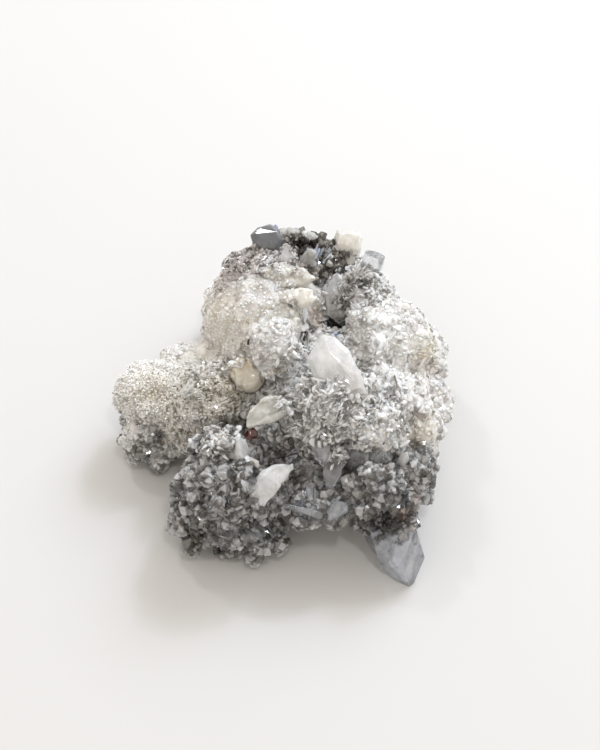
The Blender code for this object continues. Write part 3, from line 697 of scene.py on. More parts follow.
def crystal_material(finish):
    """A large apophyllite crystal: veils of tiny bubbles cloud its root, whose colour is also darker as
    painted shade, and its tip is clearer.
    """
    shaded_root_hex, tip_hex, root_clear, tip_clear, roughness, subsurface, density = FINISHES[finish]
    made, tree, shader = new_material(f"{finish}_apophyllite_crystal")
    grown = add_node(tree, "ShaderNodeAttribute", {"attribute_name": "grown"})
    place, cloudy, streak = cloudiness(tree, 0.8, 1.12, 0.1)
    veil = add_node(
        tree, "ShaderNodeTexNoise", Vector=place, Scale=per_mm(0.5), Detail=3.0, Roughness=0.55
    )
    shift = add_node(
        tree, "ShaderNodeMapRange", Value=veil, From_Min=0.3, From_Max=0.7, To_Min=-0.35, To_Max=0.35
    )
    share = add_node(
        tree, "ShaderNodeMath", {"operation": "ADD", "use_clamp": True}, i0=grown.outputs["Fac"],
        i1=shift,
    )
    ripe = add_node(
        tree, "ShaderNodeMapRange", {"interpolation_type": "SMOOTHSTEP"}, Value=share, From_Min=0.12,
        From_Max=0.66,
    )
    # Root to tip: painted shade at the root, fading to the tip's own colour.
    body = add_node(
        tree, "ShaderNodeMix", {"data_type": "RGBA"}, i0=ripe, i6=(*linear(shaded_root_hex), 1),
        i7=(*linear(tip_hex), 1),
    )
    colour = add_node(tree, "ShaderNodeVectorMath", {"operation": "SCALE"}, i0=body, Scale=cloudy)
    clearness = add_node(tree, "ShaderNodeMapRange", Value=share, To_Min=root_clear, To_Max=tip_clear)
    relief = add_node(tree, "ShaderNodeBump", Height=streak, Strength=0.16, Distance=0.12 * MM)
    set_inputs(
        tree, shader, Base_Color=colour, Transmission_Weight=clearness, Normal=relief,
        Roughness=roughness, Subsurface_Weight=subsurface, Subsurface_Radius=(1.0, 0.95, 0.9),
        Subsurface_Scale=1.2 * MM,
    )
    if density:
        absorb = add_node(
            tree, "ShaderNodeVolumeAbsorption", Color=(0.8, 0.8, 0.82, 1), Density=density
        )
        set_inputs(tree, tree.nodes["Material Output"], Volume=absorb)
    return made


def mesh_of(shape, name):
    """The shape as a new mesh. The shape itself is freed."""
    mesh = bpy.data.meshes.new(name)
    shape.to_mesh(mesh)
    shape.free()
    return mesh


def new_object(name, mesh):
    made = bpy.data.objects.new(name, mesh)
    bpy.context.scene.collection.objects.link(made)
    return made


def evaluated_mesh(obj):
    graph = bpy.context.evaluated_depsgraph_get()
    return bpy.data.meshes.new_from_object(obj.evaluated_get(graph))


def lobes_together():
    """Every lobe as a ball, drawn in, in one mesh."""
    shape = bmesh.new()
    for centre, half, _ in LOBES.values():
        size = [(length - INSET) * MM for length in half]
        place = Matrix.Translation((Vector(centre) + SEAT) * MM) @ Matrix.Diagonal((*size, 1))
        bmesh.ops.create_icosphere(shape, subdivisions=4, radius=1, matrix=place)
    return mesh_of(shape, "lobes")


def ruggedness(point):
    """How far the surface stands in or out at a point, from -1 to 1."""
    at = point / (RUGGED_SCALE * MM)
    cells = noise.voronoi(at, distance_metric="DISTANCE")[0]
    return 0.9 * (cells[1] - cells[0]) - 0.45 + 0.5 * noise.noise(at * 0.7)


def remeshed(name, mesh, grain, rounds):
    """The mesh melted into one skin of this grain, smoothed over some rounds."""
    lump = new_object(name, mesh)
    melt = lump.modifiers.new("melt", "REMESH")
    melt.mode = "VOXEL"
    melt.voxel_size = grain
    smooth = lump.modifiers.new("smooth", "SMOOTH")
    smooth.factor = 0.5
    smooth.iterations = rounds
    skin = evaluated_mesh(lump)
    bpy.data.objects.remove(lump)
    return skin


def melted_lobes():
    """The lobes melted together, with rugged bumps."""
    mass = remeshed("lobes", lobes_together(), MELT_GRAIN * MM, MELT_ROUNDS)
    outward = [vertex.normal.copy() for vertex in mass.vertices]
    for vertex, way in zip(mass.vertices, outward):
        vertex.co += way * (ruggedness(vertex.co - SEAT * MM) * RUGGED * MM)
    return mass


def form_mesh(form):
    """One crystal of this form, as a mesh 1 wide, 1 thick and 1 long."""
    shape = bmesh.new()
    bmesh.ops.create_cube(shape, size=1, matrix=Matrix.Translation((0, 0, 0.5)))
    for facing, through in FORMS[form]:
        cut = bmesh.ops.bisect_plane(
            shape,
            geom=shape.verts[:] + shape.edges[:] + shape.faces[:],
            plane_co=through,
            plane_no=facing,
            clear_outer=True,
            dist=1e-5,
        )
        rim = [e for e in cut["geom_cut"] if isinstance(e, bmesh.types.BMEdge)]
        bmesh.ops.edgeloop_fill(shape, edges=[e for e in rim if e.is_boundary])
    bmesh.ops.recalc_face_normals(shape, faces=shape.faces)
    return mesh_of(shape, form)


def druse_form(form):
    """Points and triangles of one fine crystal, 1 wide and 1 long, rooted at z 0."""
    root, under, tip, shoulder = DRUSE_FORMS[form]
    rings = ((root, 0.0), (under, shoulder), (tip, 1.0))
    corners = ((-0.5, -0.5), (0.5, -0.5), (0.5, 0.5), (-0.5, 0.5))
    points = [(x * w, y * t, z) for (w, t), z in rings for x, y in corners]
    faces = [(0, 2, 1), (0, 3, 2), (8, 9, 10), (8, 10, 11)]
    for ring in (0, 4):
        for k in range(4):
            a, b = ring + k, ring + (k + 1) % 4
            faces += [(a, b, b + 4), (a, b + 4, a + 4)]
    return np.array(points), np.array(faces)


def crystal_place(root, tip, width, thickness, roll):
    """The matrix that puts a unit crystal with its root and tip at these points."""
    along = Vector(tip) - Vector(root)
    turn = along.to_track_quat("Z", "Y").to_matrix().to_4x4()
    size = Matrix.Diagonal((width, thickness, along.length, 1))
    return (
        Matrix.Scale(MM, 4)
        @ Matrix.Translation(Vector(root) + SEAT)
        @ turn
        @ Matrix.Rotation(math.radians(roll), 4, "Z")
        @ size
    )


def outside_others(point, own):
    """Whether a point lies outside every lobe but its own."""
    for name, (centre, half, _) in LOBES.items():
        if name != own:
            d = Vector(point) - Vector(centre)
            if sum((d[k] / half[k]) ** 2 for k in range(3)) < 1.0:
                return False
    return True


def strewn_crystals():
    """Places for the small crystals, the same as in the part."""
    pick = random.Random(SEED)
    taken, found = [], []
    for name, (centre, half, coat) in LOBES.items():
        form, width, length, apart = COATS[coat]
        area = 4 * math.pi * (sum(half) / 3) ** 2
        count = int(area / (apart * apart * 0.5))
        for i in range(count):
            z = 1 - 2 * (i + 0.5) / count
            turn = i * math.pi * (3 - math.sqrt(5)) + pick.uniform(-0.4, 0.4)
            ring = math.sqrt(1 - z * z)
            unit = Vector((ring * math.cos(turn), ring * math.sin(turn), z))
            point = Vector([centre[k] + (half[k] - INSET) * unit[k] for k in range(3)])
            grow, lean = pick.uniform(0.75, 1.25), pick.uniform(0, TILT)
            side, roll = pick.uniform(0, 2 * math.pi), pick.uniform(0, 90)
            if point.z < GROUND_CLEARANCE or not outside_others(point, name):
                continue
            if any((point - p).length < apart * 0.85 for p in taken):
                continue
            taken.append(point)
            outward = Vector([unit[k] / half[k] for k in range(3)]).normalized()
            across = outward.orthogonal().normalized()
            across.rotate(Matrix.Rotation(side, 3, outward))
            way = outward * math.cos(lean) + across * math.sin(lean)
            reach = length * grow
            root = point - way * (reach * ROOT)
            found.append((form, root, root + way * reach, width * grow, roll))
    return found


def add_crystal(shape, unit_crystal, place):
    start = len(shape.verts)
    shape.from_mesh(unit_crystal)
    shape.verts.ensure_lookup_table()
    bmesh.ops.transform(shape, matrix=place, verts=shape.verts[start:])


def gathered(data, name, kind=float):
    """A property of three numbers, read from every item of a mesh's data."""
    found = np.empty(len(data) * 3, kind)
    data.foreach_get(name, found)
    return found.reshape(-1, 3)


def points_of(mesh):
    return gathered(mesh.vertices, "co")


def normals_of(mesh):
    return gathered(mesh.vertices, "normal")


def triangles_of(mesh):
    mesh.calc_loop_triangles()
    return gathered(mesh.loop_triangles, "vertices", np.int64)


def in_layout(points):
    """Points in metres of the frame as millimetres of the layout."""
    return points / MM - np.array(SEAT)


def look_weights(points):
    """How much each look counts at these points of the layout: one row a point, adding up to 1."""
    out = np.zeros((len(points), len(LOOK_NAMES)))
    for start in range(0, len(points), CHUNK):
        away = points[start : start + CHUNK, None, :] - SKIN_CENTRES[None]
        reach = np.linalg.norm(away / SKIN_HALVES[None], axis=2)
        depth = (reach - 1) * SKIN_HALVES.min(1)[None]
        near = np.exp(-(depth - depth.min(1, keepdims=True)) / BLEND)
        for k, look in enumerate(SKIN_LOOKS):
            out[start : start + CHUNK, look] += near[:, k]
    return out / out.sum(1, keepdims=True)


def with_stains_and_painted_shade(points, colours):
    """The colours with the stains and painted shade of STAINS laid over them, each strongest at its own
    centre.
    """
    for centre, radius, hex_colour, strength in STAINS.values():
        away = np.linalg.norm(points - np.array(centre, float), axis=1) / radius
        share = (strength * np.clip(STAIN_REACH - away, 0, 1) ** STAIN_FALL)[:, None].clip(0, strength)
        colours = colours * (1 - share) + np.array(linear(hex_colour)) * share
    return colours


def set_attribute(mesh, name, kind, values):
    made = mesh.attributes.new(name, kind, "POINT")
    key = "color" if kind == "FLOAT_COLOR" else "value"
    made.data.foreach_set(key, np.ascontiguousarray(values, np.float32).reshape(-1))


def finish_piece(obj, material):
    """The piece with its material, body and slot, standing for the part's solid."""
    obj.data.materials.append(material)
    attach(obj, BODY)
    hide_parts(NODE)
    return obj


def grow_mass(sizes):
    """The mass of the cluster with the strewn crystals grown into it, set back under the druse."""
    shape = bmesh.new()
    shape.from_mesh(melted_lobes())
    forms = {form: form_mesh(form) for form in FORMS}
    for form, root, tip, width, roll in strewn_crystals():
        add_crystal(shape, forms[form], crystal_place(root, tip, width, width * 0.86, roll))
    skin = remeshed("crust", mesh_of(shape, "crust"), sizes.crust_grain, CRUST_ROUNDS)
    weights = look_weights(in_layout(points_of(skin)))
    wax = weights @ np.array([LOOKS[look][5] for look in LOOK_NAMES])
    skin = softened(skin, np.clip(wax, 0, 1) ** WAX_POWER, sizes.wax_rounds)
    points = faceted(in_layout(points_of(skin)), wax)
    skin.vertices.foreach_set("co", ((points + np.array(SEAT)) * MM).reshape(-1))
    skin = softened(skin, wax, FACET_ROUNDS)
    depth = sizes.druse_depth * (1 - WAX_RISE * wax)
    points = points_of(skin) - normals_of(skin) * depth[:, None]
    points[:, 2] = np.maximum(points[:, 2], 0)
    skin.vertices.foreach_set("co", points.reshape(-1))
    skin.update()
    base = np.array([linear(LOOKS[look][0]) for look in LOOK_NAMES])
    tint = np.ones((len(points), 4))
    tint[:, :3] = with_stains_and_painted_shade(in_layout(points), weights @ base)
    set_attribute(skin, "tint", "FLOAT_COLOR", tint)
    set_attribute(skin, "wax", "FLOAT", wax)
    skin.shade_smooth()
    GROWN["mass"] = skin
    return finish_piece(new_object("crystal_mass", skin), mass_material())


def faceted(points, wax):
    """The layout's points with the milky lobes flattened into soft faces, as far as they are waxy."""
    rng = np.random.default_rng(SEED)
    for name, (count, level) in FACETED.items():
        centre, half, _ = LOBES[name]
        turns = np.arange(count) * math.pi * (3 - math.sqrt(5)) + rng.uniform(-0.3, 0.3, count)
        heights = 1 - 2 * (np.arange(count) + 0.5) / count
        rings = np.sqrt(1 - heights**2)
        faces = np.stack([rings * np.cos(turns), rings * np.sin(turns), heights], axis=1)
        unit = (points - np.array(centre, float)) / np.array(half, float)
        reach = np.linalg.norm(unit, axis=1)
        facing = (unit / np.maximum(reach, 1e-6)[:, None]) @ faces.T
        allowed = level / np.maximum(facing.max(1), FACET_ROUND)
        near = np.clip((FACET_OUTER[0] - reach) / FACET_OUTER[1], 0, 1)
        near *= np.clip((reach - FACET_INNER[0]) / FACET_INNER[1], 0, 1)
        share = np.where(reach > allowed, wax * near, 0)
        scale = 1 + share * (allowed / np.maximum(reach, 1e-6) - 1)
        points = np.array(centre, float) + (points - np.array(centre, float)) * scale[:, None]
    return points


def softened(mesh, share, rounds):
    """The mesh smoothed over some rounds, point by point as far as its share says."""
    lump = new_object("wax", mesh)
    lump.vertex_groups.new(name="soft")
    layer = bmesh.new()
    layer.from_mesh(mesh)
    group = layer.verts.layers.deform.verify()
    for vertex, value in zip(layer.verts, share):
        vertex[group][0] = float(value)
    layer.to_mesh(mesh)
    layer.free()
    smooth = lump.modifiers.new("smooth", "SMOOTH")
    smooth.factor = 0.5
    smooth.iterations = rounds
    smooth.vertex_group = "soft"
    skin = evaluated_mesh(lump)
    bpy.data.objects.remove(lump)
    return skin


def turned_to(ways, rolls):
    """Rotation matrices whose third axis is each way, turned by each roll about it."""
    helper = np.where(np.abs(ways[:, 2:3]) > 0.9, [[1.0, 0, 0]], [[0, 0, 1.0]])
    first = np.cross(helper, ways)
    first /= np.linalg.norm(first, axis=1, keepdims=True)
    second = np.cross(ways, first)
    c, s = np.cos(rolls)[:, None], np.sin(rolls)[:, None]
    return np.stack([first * c + second * s, second * c - first * s, ways], axis=2)


def facing_of(corners):
    """The way each triangle faces, twice its area long."""
    return np.cross(corners[:, 1] - corners[:, 0], corners[:, 2] - corners[:, 0])


def spread(corners, apart, rng):
    """Spots spread evenly over triangles, no two in one cell of this size, with the triangle of each."""
    area = np.linalg.norm(facing_of(corners), axis=1) / 2
    count = int(area.sum() / apart**2 * TRIES)
    picked = rng.choice(len(corners), count, p=area / area.sum())
    u, v = rng.uniform(0, 1, (2, count))
    flip = u + v > 1
    u[flip], v[flip] = 1 - u[flip], 1 - v[flip]
    spots = corners[picked, 0] + u[:, None] * (corners[picked, 1] - corners[picked, 0])
    spots += v[:, None] * (corners[picked, 2] - corners[picked, 0])
    cells = np.floor(spots / apart).astype(np.int64)
    _, first = np.unique(cells, axis=0, return_index=True)
    return spots[first], picked[first]


def druse_places(look, rng, scale):
    """Place and outward way of each fine crystal of one look, over the mass and up the big crystals."""
    apart = DRUSE[look][3] * MM * scale
    mesh = GROWN["mass"]
    points, faces, normals = points_of(mesh), triangles_of(mesh), normals_of(mesh)
    corners = points[faces]
    weights = look_weights(in_layout(corners.mean(1)))
    keep = weights[:, LOOK_NAMES.index(look)] > rng.uniform(*FADE, len(faces))
    corners, faces = corners[keep], faces[keep]
    spots, picked = spread(corners, apart, rng)
    ways = normals[faces[picked]].mean(1)
    for corners, facing, root, reach in GROWN["big"]:
        more, picked = spread(corners, apart, rng)
        climbed = np.linalg.norm(more - root, axis=1) / reach + rng.normal(0, CLIMB_FRAY, len(more))
        weights = look_weights(in_layout(more))[:, LOOK_NAMES.index(look)]
        keep = (climbed < 1) & (weights > rng.uniform(*FADE, len(more)))
        spots = np.concatenate([spots, more[keep]])
        ways = np.concatenate([ways, facing[picked[keep]]])
    ways /= np.linalg.norm(ways, axis=1, keepdims=True)
    return spots, ways


def grow_druse(look, sizes, material):
    """The fine crystals of one look, as one piece."""
    form, width, length, _, lean, buried = DRUSE[look]
    rng = np.random.default_rng([sizes.seed, LOOK_NAMES.index(look)])
    spots, ways = druse_places(look, rng, sizes.druse_size)
    n = len(spots)
    tilt = rng.normal(0, 1, (n, 3))
    tilt -= (tilt * ways).sum(1, keepdims=True) * ways
    tilt /= np.linalg.norm(tilt, axis=1, keepdims=True)
    angle = np.radians(lean) * np.sqrt(rng.uniform(0, 1, n))[:, None]
    axes = ways * np.cos(angle) + tilt * np.sin(angle)
    turn = turned_to(axes, rng.uniform(0, 2 * np.pi, n))
    grow = np.exp(np.clip(rng.normal(0, DRUSE_SPREAD, n), *DRUSE_LIMITS))[:, None] * sizes.druse_size
    size = np.array([width, width, length])[None] * grow * MM
    size[:, :2] *= rng.uniform(*DRUSE_SIDES, (n, 2))
    unit_points, unit_faces = druse_form(form)
    local = unit_points[None] - np.array([0, 0, buried])
    placed = spots[:, None] + np.einsum("nij,nkj->nki", turn, local * size[:, None])
    low, high = np.array(CAD_BOX[0]), np.array(CAD_BOX[1])
    inside = ((placed > low + MARGIN) & (placed < high - MARGIN)).all((1, 2))
    placed = placed[inside]
    spots = in_layout(spots[inside])
    n = len(placed)
    _, pale, deep, dark_share, clear_share, _, cloudy = LOOKS[look]
    light, dark = np.array(linear(pale)), np.array(linear(deep))
    mix = rng.beta(1.2, 1.2 * (1 - dark_share) / dark_share, n)[:, None]
    tone = with_stains_and_painted_shade(spots, light * (1 - mix) + dark * mix)
    height = np.clip(unit_points[:, 2], 0, 1)[None, :, None]
    tint = np.ones((n, len(unit_points), 4))
    # Painted shade: each crystal darker at its root and a little lighter at its tip.
    tint[:, :, :3] = np.clip(tone[:, None] * (ROOT_PAINTED_SHADE + TIP_GAIN * height), 0, PALEST)
    clearness = np.where(rng.uniform(0, 1, n) < clear_share, CLEAR_ONE, cloudy)
    points = placed.reshape(-1, 3)
    faces = (unit_faces[None] + (np.arange(n) * len(unit_points))[:, None, None]).reshape(-1, 3)
    mesh = bpy.data.meshes.new(f"druse_{look}")
    mesh.from_pydata(points.tolist(), [], faces.tolist())
    set_attribute(mesh, "tint", "FLOAT_COLOR", tint.reshape(-1, 4))
    set_attribute(mesh, "clearness", "FLOAT", np.repeat(clearness, len(unit_points)))
    return finish_piece(new_object(f"druse_{look}", mesh), material)


def sketch_mesh(name):
    """A crystal drawn as the camera sees it: a rim, a smaller front face raised to a point, and a back."""
    sketch = SKETCHES[name]
    count = len(sketch.outline)
    middle = Vector([sum(axis) / count for axis in zip(*sketch.outline)])
    right_turn, up_turn = (math.radians(angle) for angle in sketch.lean)
    tilt = Matrix.Rotation(right_turn, 3, "Y") @ Matrix.Rotation(-up_turn, 3, "X")
    shape = bmesh.new()

    def corner(point, near):
        local = tilt @ Vector((point[0] - middle.x, point[1] - middle.y, near))
        local += Vector((middle.x, middle.y, sketch.near))
        return shape.verts.new((VIEW_TARGET + VIEW_AXES @ local + SEAT) * MM)

    rings = []
    for share, depth in SKETCH_RIMS:
        ring = [middle + (Vector(point) - middle) * share for point in sketch.outline]
        rings.append([corner(point, depth * sketch.thickness) for point in ring])
    for below, above in zip(rings, rings[1:]):
        for k in range(count):
            after = (k + 1) % count
            shape.faces.new((below[k], above[k], above[after], below[after]))
    shape.faces.new(rings[0])
    peak = corner(sketch.peak, sketch.rise)
    for k in range(count):
        shape.faces.new((rings[-1][k], peak, rings[-1][(k + 1) % count]))
    bmesh.ops.recalc_face_normals(shape, faces=shape.faces)
    return mesh_of(shape, name)


def worn(name, mesh, sizes, rounds, along):
    """The crystal with its edges worn by a bevel, or etched uneven and smoothed over some rounds."""
    if rounds:
        soft = remeshed(name, mesh, sizes.soft_grain, 1)
        outward = [vertex.normal.copy() for vertex in soft.vertices]
        turn = along.to_track_quat("Z", "Y").inverted()
        # The offsets of noise_vector come from the clock until a seed is set
        noise.seed_set(SEED)
        for vertex, way in zip(soft.vertices, outward):
            at = turn @ vertex.co / MM
            at += noise.noise_vector(at / WARP_SCALE) * WARP
            step = noise.cell(Vector([at[k] / STEP_SIZE[k] for k in range(3)])) - 0.5
            rise = STEP * step + UNEVEN * noise.noise(at / UNEVEN_SCALE)
            vertex.co += way * (rise * MM)
        soft = softened(soft, np.ones(len(soft.vertices)), rounds)
        soft.shade_smooth()
        return soft
    crystal = new_object(name, mesh)
    bevel = crystal.modifiers.new("worn_edges", "BEVEL")
    bevel.width = sizes.bevel
    bevel.segments = 2
    bevel.limit_method = "ANGLE"
    split = crystal.modifiers.new("split", "SUBSURF")
    split.subdivision_type = "SIMPLE"
    split.levels = split.render_levels = 2
    skin = evaluated_mesh(crystal)
    bpy.data.objects.remove(crystal)
    return skin


def stand_on_ground(mesh):
    """Cuts off what reaches below the ground, and closes the cut."""
    shape = bmesh.new()
    shape.from_mesh(mesh)
    bmesh.ops.bisect_plane(
        shape, geom=shape.verts[:] + shape.edges[:] + shape.faces[:], plane_co=(0, 0, FOOT_GAP * MM),
        plane_no=(0, 0, -1), clear_outer=True, dist=1e-7,
    )
    bmesh.ops.holes_fill(shape, edges=[e for e in shape.edges if e.is_boundary])
    shape.to_mesh(mesh)
    shape.free()


def grow_big_crystal(name, sizes, materials):
    """One large crystal, and the part of it from its root that fine crystals climb over."""
    if name in SKETCHES:
        sketch = SKETCHES[name]
        rounds, climbed, finish = sketch.rounds, sketch.climbed, sketch.finish
        mesh = sketch_mesh(name)
        root = VIEW_TARGET + VIEW_AXES @ Vector((*sketch.root, sketch.near - 0.5 * sketch.thickness))
    else:
        form, root, tip, width, thickness, roll, finish = BIG_CRYSTALS[name]
        rounds, climbed = ETCHED.get(name, (0, CLIMBED))
        shape = bmesh.new()
        add_crystal(shape, form_mesh(form), crystal_place(root, tip, width, thickness, roll))
        mesh = mesh_of(shape, name)
    stand_on_ground(mesh)
    start = np.array(Vector(root) + SEAT) * MM
    middle = points_of(mesh).mean(0)
    mesh = worn(name, mesh, sizes, rounds, Vector(middle - start))
    points = points_of(mesh)
    away = np.linalg.norm(points - start, axis=1)
    reach = away.max()
    set_attribute(mesh, "grown", "FLOAT", away / reach)
    corners = points[triangles_of(mesh)]
    facing = facing_of(corners)
    facing /= np.maximum(np.linalg.norm(facing, axis=1, keepdims=True), 1e-12)
    if climbed:
        GROWN["big"].append((corners, facing, start, reach * climbed))
    return finish_piece(new_object(name, mesh), materials[finish])


def garnet_material(colours):
    """Garnet caught in the vug: a deep red-brown, glassy grain with darker clouds."""
    made, tree, shader = new_material("garnet_grain_glassy")
    place = add_node(tree, "ShaderNodeTexCoord").outputs["Object"]
    cloud = add_node(tree, "ShaderNodeTexNoise", Vector=place, Scale=per_mm(1.4), Detail=4.0)
    share = add_node(
        tree, "ShaderNodeMapRange", Value=cloud, From_Min=0.35, From_Max=0.65, To_Min=0.5, To_Max=1.7
    )
    colour = add_node(
        tree, "ShaderNodeVectorMath", {"operation": "SCALE"}, i0=tuple(colours.garnet), Scale=share
    )
    set_inputs(tree, shader, Base_Color=colour, Roughness=0.18, IOR=1.78)
    return made


def grow_garnet(sizes, colours):
    """The garnet: a short block, etched round, between a root and a tip on two sides of its middle."""
    middle, size, (below, above), roll, rounds = GARNET
    root = Vector(middle) - Vector(below) * size * 0.6
    tip = Vector(middle) + Vector(above) * size * 0.6
    mesh = form_mesh("block")
    mesh.transform(crystal_place(root, tip, size * 1.3, size, roll))
    mesh = worn("garnet", mesh, sizes, rounds, Vector((0, 0, 1)))
    return finish_piece(new_object("garnet_grain", mesh), garnet_material(colours))


def grow_streaks(material):
    """Every thin blade of STREAKS, laid on the mass where the camera's ray meets it, as one piece, with its
    painted shade and painted reflections.
    """
    mesh = GROWN["mass"]
    skin = BVHTree.FromPolygons(points_of(mesh).tolist(), triangles_of(mesh).tolist())
    rng = np.random.default_rng(SEED)
    eye = (VIEW_TARGET + SEAT + VIEW_NEAR * VIEW_DISTANCE) * MM
    unit_points, unit_faces = druse_form("lath")
    points, faces, tints, clears = [], [], [], []
    for count, (right, up), (wide, high), turn, fan, length, width, hex_colour, clear in STREAKS.values():
        for _ in range(count):
            r, u = right + rng.normal(0, 0.5) * wide, up + rng.normal(0, 0.5) * high
            aim = (VIEW_TARGET + SEAT + VIEW_RIGHT * r + VIEW_UP * u) * MM - eye
            hit, normal, _, _ = skin.ray_cast(eye, aim.normalized())
            if hit is None:
                continue
            angle = math.radians(turn + rng.uniform(-fan, fan))
            way = VIEW_RIGHT * math.cos(angle) + VIEW_UP * math.sin(angle)
            way = (way - normal * way.dot(normal) * 0.8 + normal * rng.uniform(*STREAK_RISE)).normalized()
            grow = rng.uniform(*STREAK_SIZES)
            size = np.array([width * grow, width * grow, length * grow]) * MM
            axes = turned_to(np.array([way[:]]), np.array([rng.uniform(0, math.pi)]))[0]
            local = (unit_points - np.array([0, 0, STREAK_BURIED])) * size
            start = np.array(hit + normal * (STREAK_LIFT * MM))
            first = sum(len(group) for group in points)
            points.append(start + local @ axes.T)
            faces.append(unit_faces + first)
            tints.append(np.tile([*linear(hex_colour), 1.0], (len(unit_points), 1)))
            clears.append(np.full(len(unit_points), clear))
    placed = np.concatenate(points)
    low, high = np.array(CAD_BOX[0]), np.array(CAD_BOX[1])
    placed = np.clip(placed, low + MARGIN, high - MARGIN)
    made = bpy.data.meshes.new("blades_painted_shade_and_reflection")
    made.from_pydata(placed.tolist(), [], np.concatenate(faces).tolist())
    set_attribute(made, "tint", "FLOAT_COLOR", np.concatenate(tints))
    set_attribute(made, "clearness", "FLOAT", np.concatenate(clears))
    return finish_piece(new_object("blades_painted_shade_and_reflection", made), material)


class ClusterOperator(bpy.types.Operator):
    """What every step of the cluster shares"""

    bl_options = {"REGISTER", "UNDO"}

    @property
    def sizes(self):
        return bpy.context.scene.cluster_sizes

    @property
    def colours(self):
        return bpy.context.scene.cluster_colours


class CLUSTER_OT_mass(ClusterOperator):
    """Grow the mass that the crystals stand on"""

    bl_idname = "cluster.mass"
    bl_label = "Grow the mass"

    def execute(self, context):
        grow_mass(self.sizes)
        return {"FINISHED"}


class CLUSTER_OT_druse(ClusterOperator):
    """Grow the fine crystals over the mass"""

    bl_idname = "cluster.druse"
    bl_label = "Grow the druse"

    def execute(self, context):
        material = druse_material()
        for look in LOOKS:
            grow_druse(look, self.sizes, material)
        grow_streaks(material)
        return {"FINISHED"}


class CLUSTER_OT_garnet(ClusterOperator):
    """Set the garnet grain in the front cavity"""

    bl_idname = "cluster.garnet"
    bl_label = "Set the garnet grain"

    def execute(self, context):
        grow_garnet(self.sizes, self.colours)
        return {"FINISHED"}


class CLUSTER_OT_big_crystals(ClusterOperator):
    """Grow the large blades, blocks and points"""

    bl_idname = "cluster.big_crystals"
    bl_label = "Grow the large crystals"

    def execute(self, context):
        materials = {finish: crystal_material(finish) for finish in FINISHES}
        GROWN["big"].clear()
        for name in (*BIG_CRYSTALS, *SKETCHES):
            grow_big_crystal(name, self.sizes, materials)
        return {"FINISHED"}


class CLUSTER_OT_stage(ClusterOperator):
    """Set the paper floor, the lights and the camera"""

    bl_idname = "cluster.stage"
    bl_label = "Set the stage"

    def execute(self, context):
        set_floor(self.colours)
        set_lights()
        set_camera()
        context.scene.view_settings.view_transform = "Standard"
        return {"FINISHED"}


def set_floor(colours):
    """Matt pale paper, much wider than the view."""
    shape = bmesh.new()
    bmesh.ops.create_grid(shape, x_segments=8, y_segments=8, size=PAPER_SIZE / 2)
    paper = new_object("paper", mesh_of(shape, "paper"))
    made, tree, shader = new_material("paper_matt")
    place = add_node(tree, "ShaderNodeTexCoord").outputs["Object"]
    grain = add_node(tree, "ShaderNodeTexNoise", Vector=place, Scale=per_mm(0.02), Detail=2.0)
    tone = add_node(tree, "ShaderNodeMapRange", Value=grain, To_Min=0.99, To_Max=1.01)
    colour = add_node(
        tree, "ShaderNodeVectorMath", {"operation": "SCALE"}, i0=tuple(colours.floor), Scale=tone
    )
    set_inputs(tree, shader, Base_Color=colour, Roughness=0.9, Specular_IOR_Level=0.1)
    paper.data.materials.append(made)


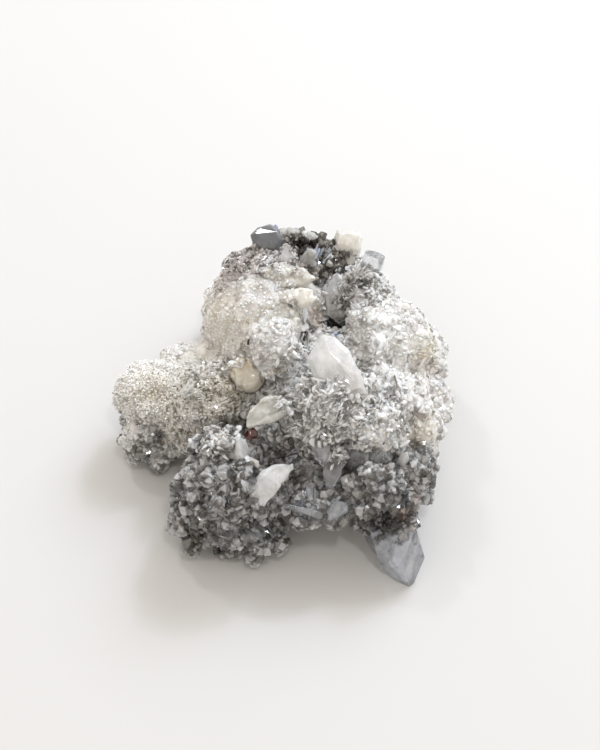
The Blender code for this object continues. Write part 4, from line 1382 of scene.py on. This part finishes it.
def set_lights():
    """The lights of LIGHTS, and a pale room that is brighter above and behind."""
    for name, (place, size, power, colour) in LIGHTS.items():
        lamp = bpy.data.lights.new(name, "AREA")
        lamp.size = size * MM
        lamp.energy = power
        lamp.color = colour
        made = new_object(name, lamp)
        made.location = Vector(place) * MM
        made.rotation_euler = (VIEW_TARGET - Vector(place)).to_track_quat("-Z", "Y").to_euler()
    world = bpy.data.worlds.new("bright_room")
    world.use_nodes = True
    tree = world.node_tree
    place = add_node(tree, "ShaderNodeTexCoord").outputs["Generated"]
    facing = add_node(
        tree, "ShaderNodeVectorMath", {"operation": "DOT_PRODUCT"}, i0=place, i1=ROOM_BRIGHT
    )
    bright = add_node(
        tree, "ShaderNodeMapRange", {"interpolation_type": "SMOOTHSTEP"}, Value=facing, From_Min=-0.6,
        From_Max=1.0, To_Min=ROOM_STRENGTH[0], To_Max=ROOM_STRENGTH[1],
    )
    hue = add_node(
        tree, "ShaderNodeMix", {"data_type": "RGBA"}, i0=bright, i6=ROOM_COLOURS[0], i7=ROOM_COLOURS[1]
    )
    set_inputs(tree, tree.nodes["Background"], Color=hue, Strength=bright)
    bpy.context.scene.world = world


def set_camera():
    """The camera in front and above, as in the photo."""
    data = bpy.data.cameras.new("camera")
    camera = new_object("camera", data)
    look = -VIEW_NEAR
    camera.location = (VIEW_TARGET + SEAT - look * VIEW_DISTANCE) * MM
    camera.rotation_euler = look.to_track_quat("-Z", "Y").to_euler()
    data.lens = LENS
    data.sensor_fit = "VERTICAL"
    data.sensor_height = FILM
    data.clip_start = 0.005
    bpy.context.scene.camera = camera


class CLUSTER_PT_panel(bpy.types.Panel):
    """The cluster's sizes, colours and steps"""

    bl_idname = "CLUSTER_PT_panel"
    bl_label = "Apophyllite cluster"
    bl_space_type = "VIEW_3D"
    bl_region_type = "UI"
    bl_category = "Cluster"

    def draw(self, context):
        for group in (context.scene.cluster_sizes, context.scene.cluster_colours):
            for name in group.bl_rna.properties.keys():
                if name not in ("rna_type", "name"):
                    self.layout.prop(group, name)
        for step in STEPS:
            self.layout.operator(step.bl_idname)


STEPS = (
    CLUSTER_OT_mass, CLUSTER_OT_big_crystals, CLUSTER_OT_druse, CLUSTER_OT_garnet, CLUSTER_OT_stage,
)
CLASSES = (ClusterSizes, ClusterColours, *STEPS, CLUSTER_PT_panel)


def register():
    for each in CLASSES:
        bpy.utils.register_class(each)
    bpy.types.Scene.cluster_sizes = PointerProperty(type=ClusterSizes)
    bpy.types.Scene.cluster_colours = PointerProperty(type=ClusterColours)


def unregister():
    del bpy.types.Scene.cluster_colours
    del bpy.types.Scene.cluster_sizes
    for each in reversed(CLASSES):
        bpy.utils.unregister_class(each)


def main():
    register()
    bpy.ops.cluster.mass()
    bpy.ops.cluster.big_crystals()
    bpy.ops.cluster.druse()
    bpy.ops.cluster.garnet()
    bpy.ops.cluster.stage()


if __name__ == "__main__":
    main()
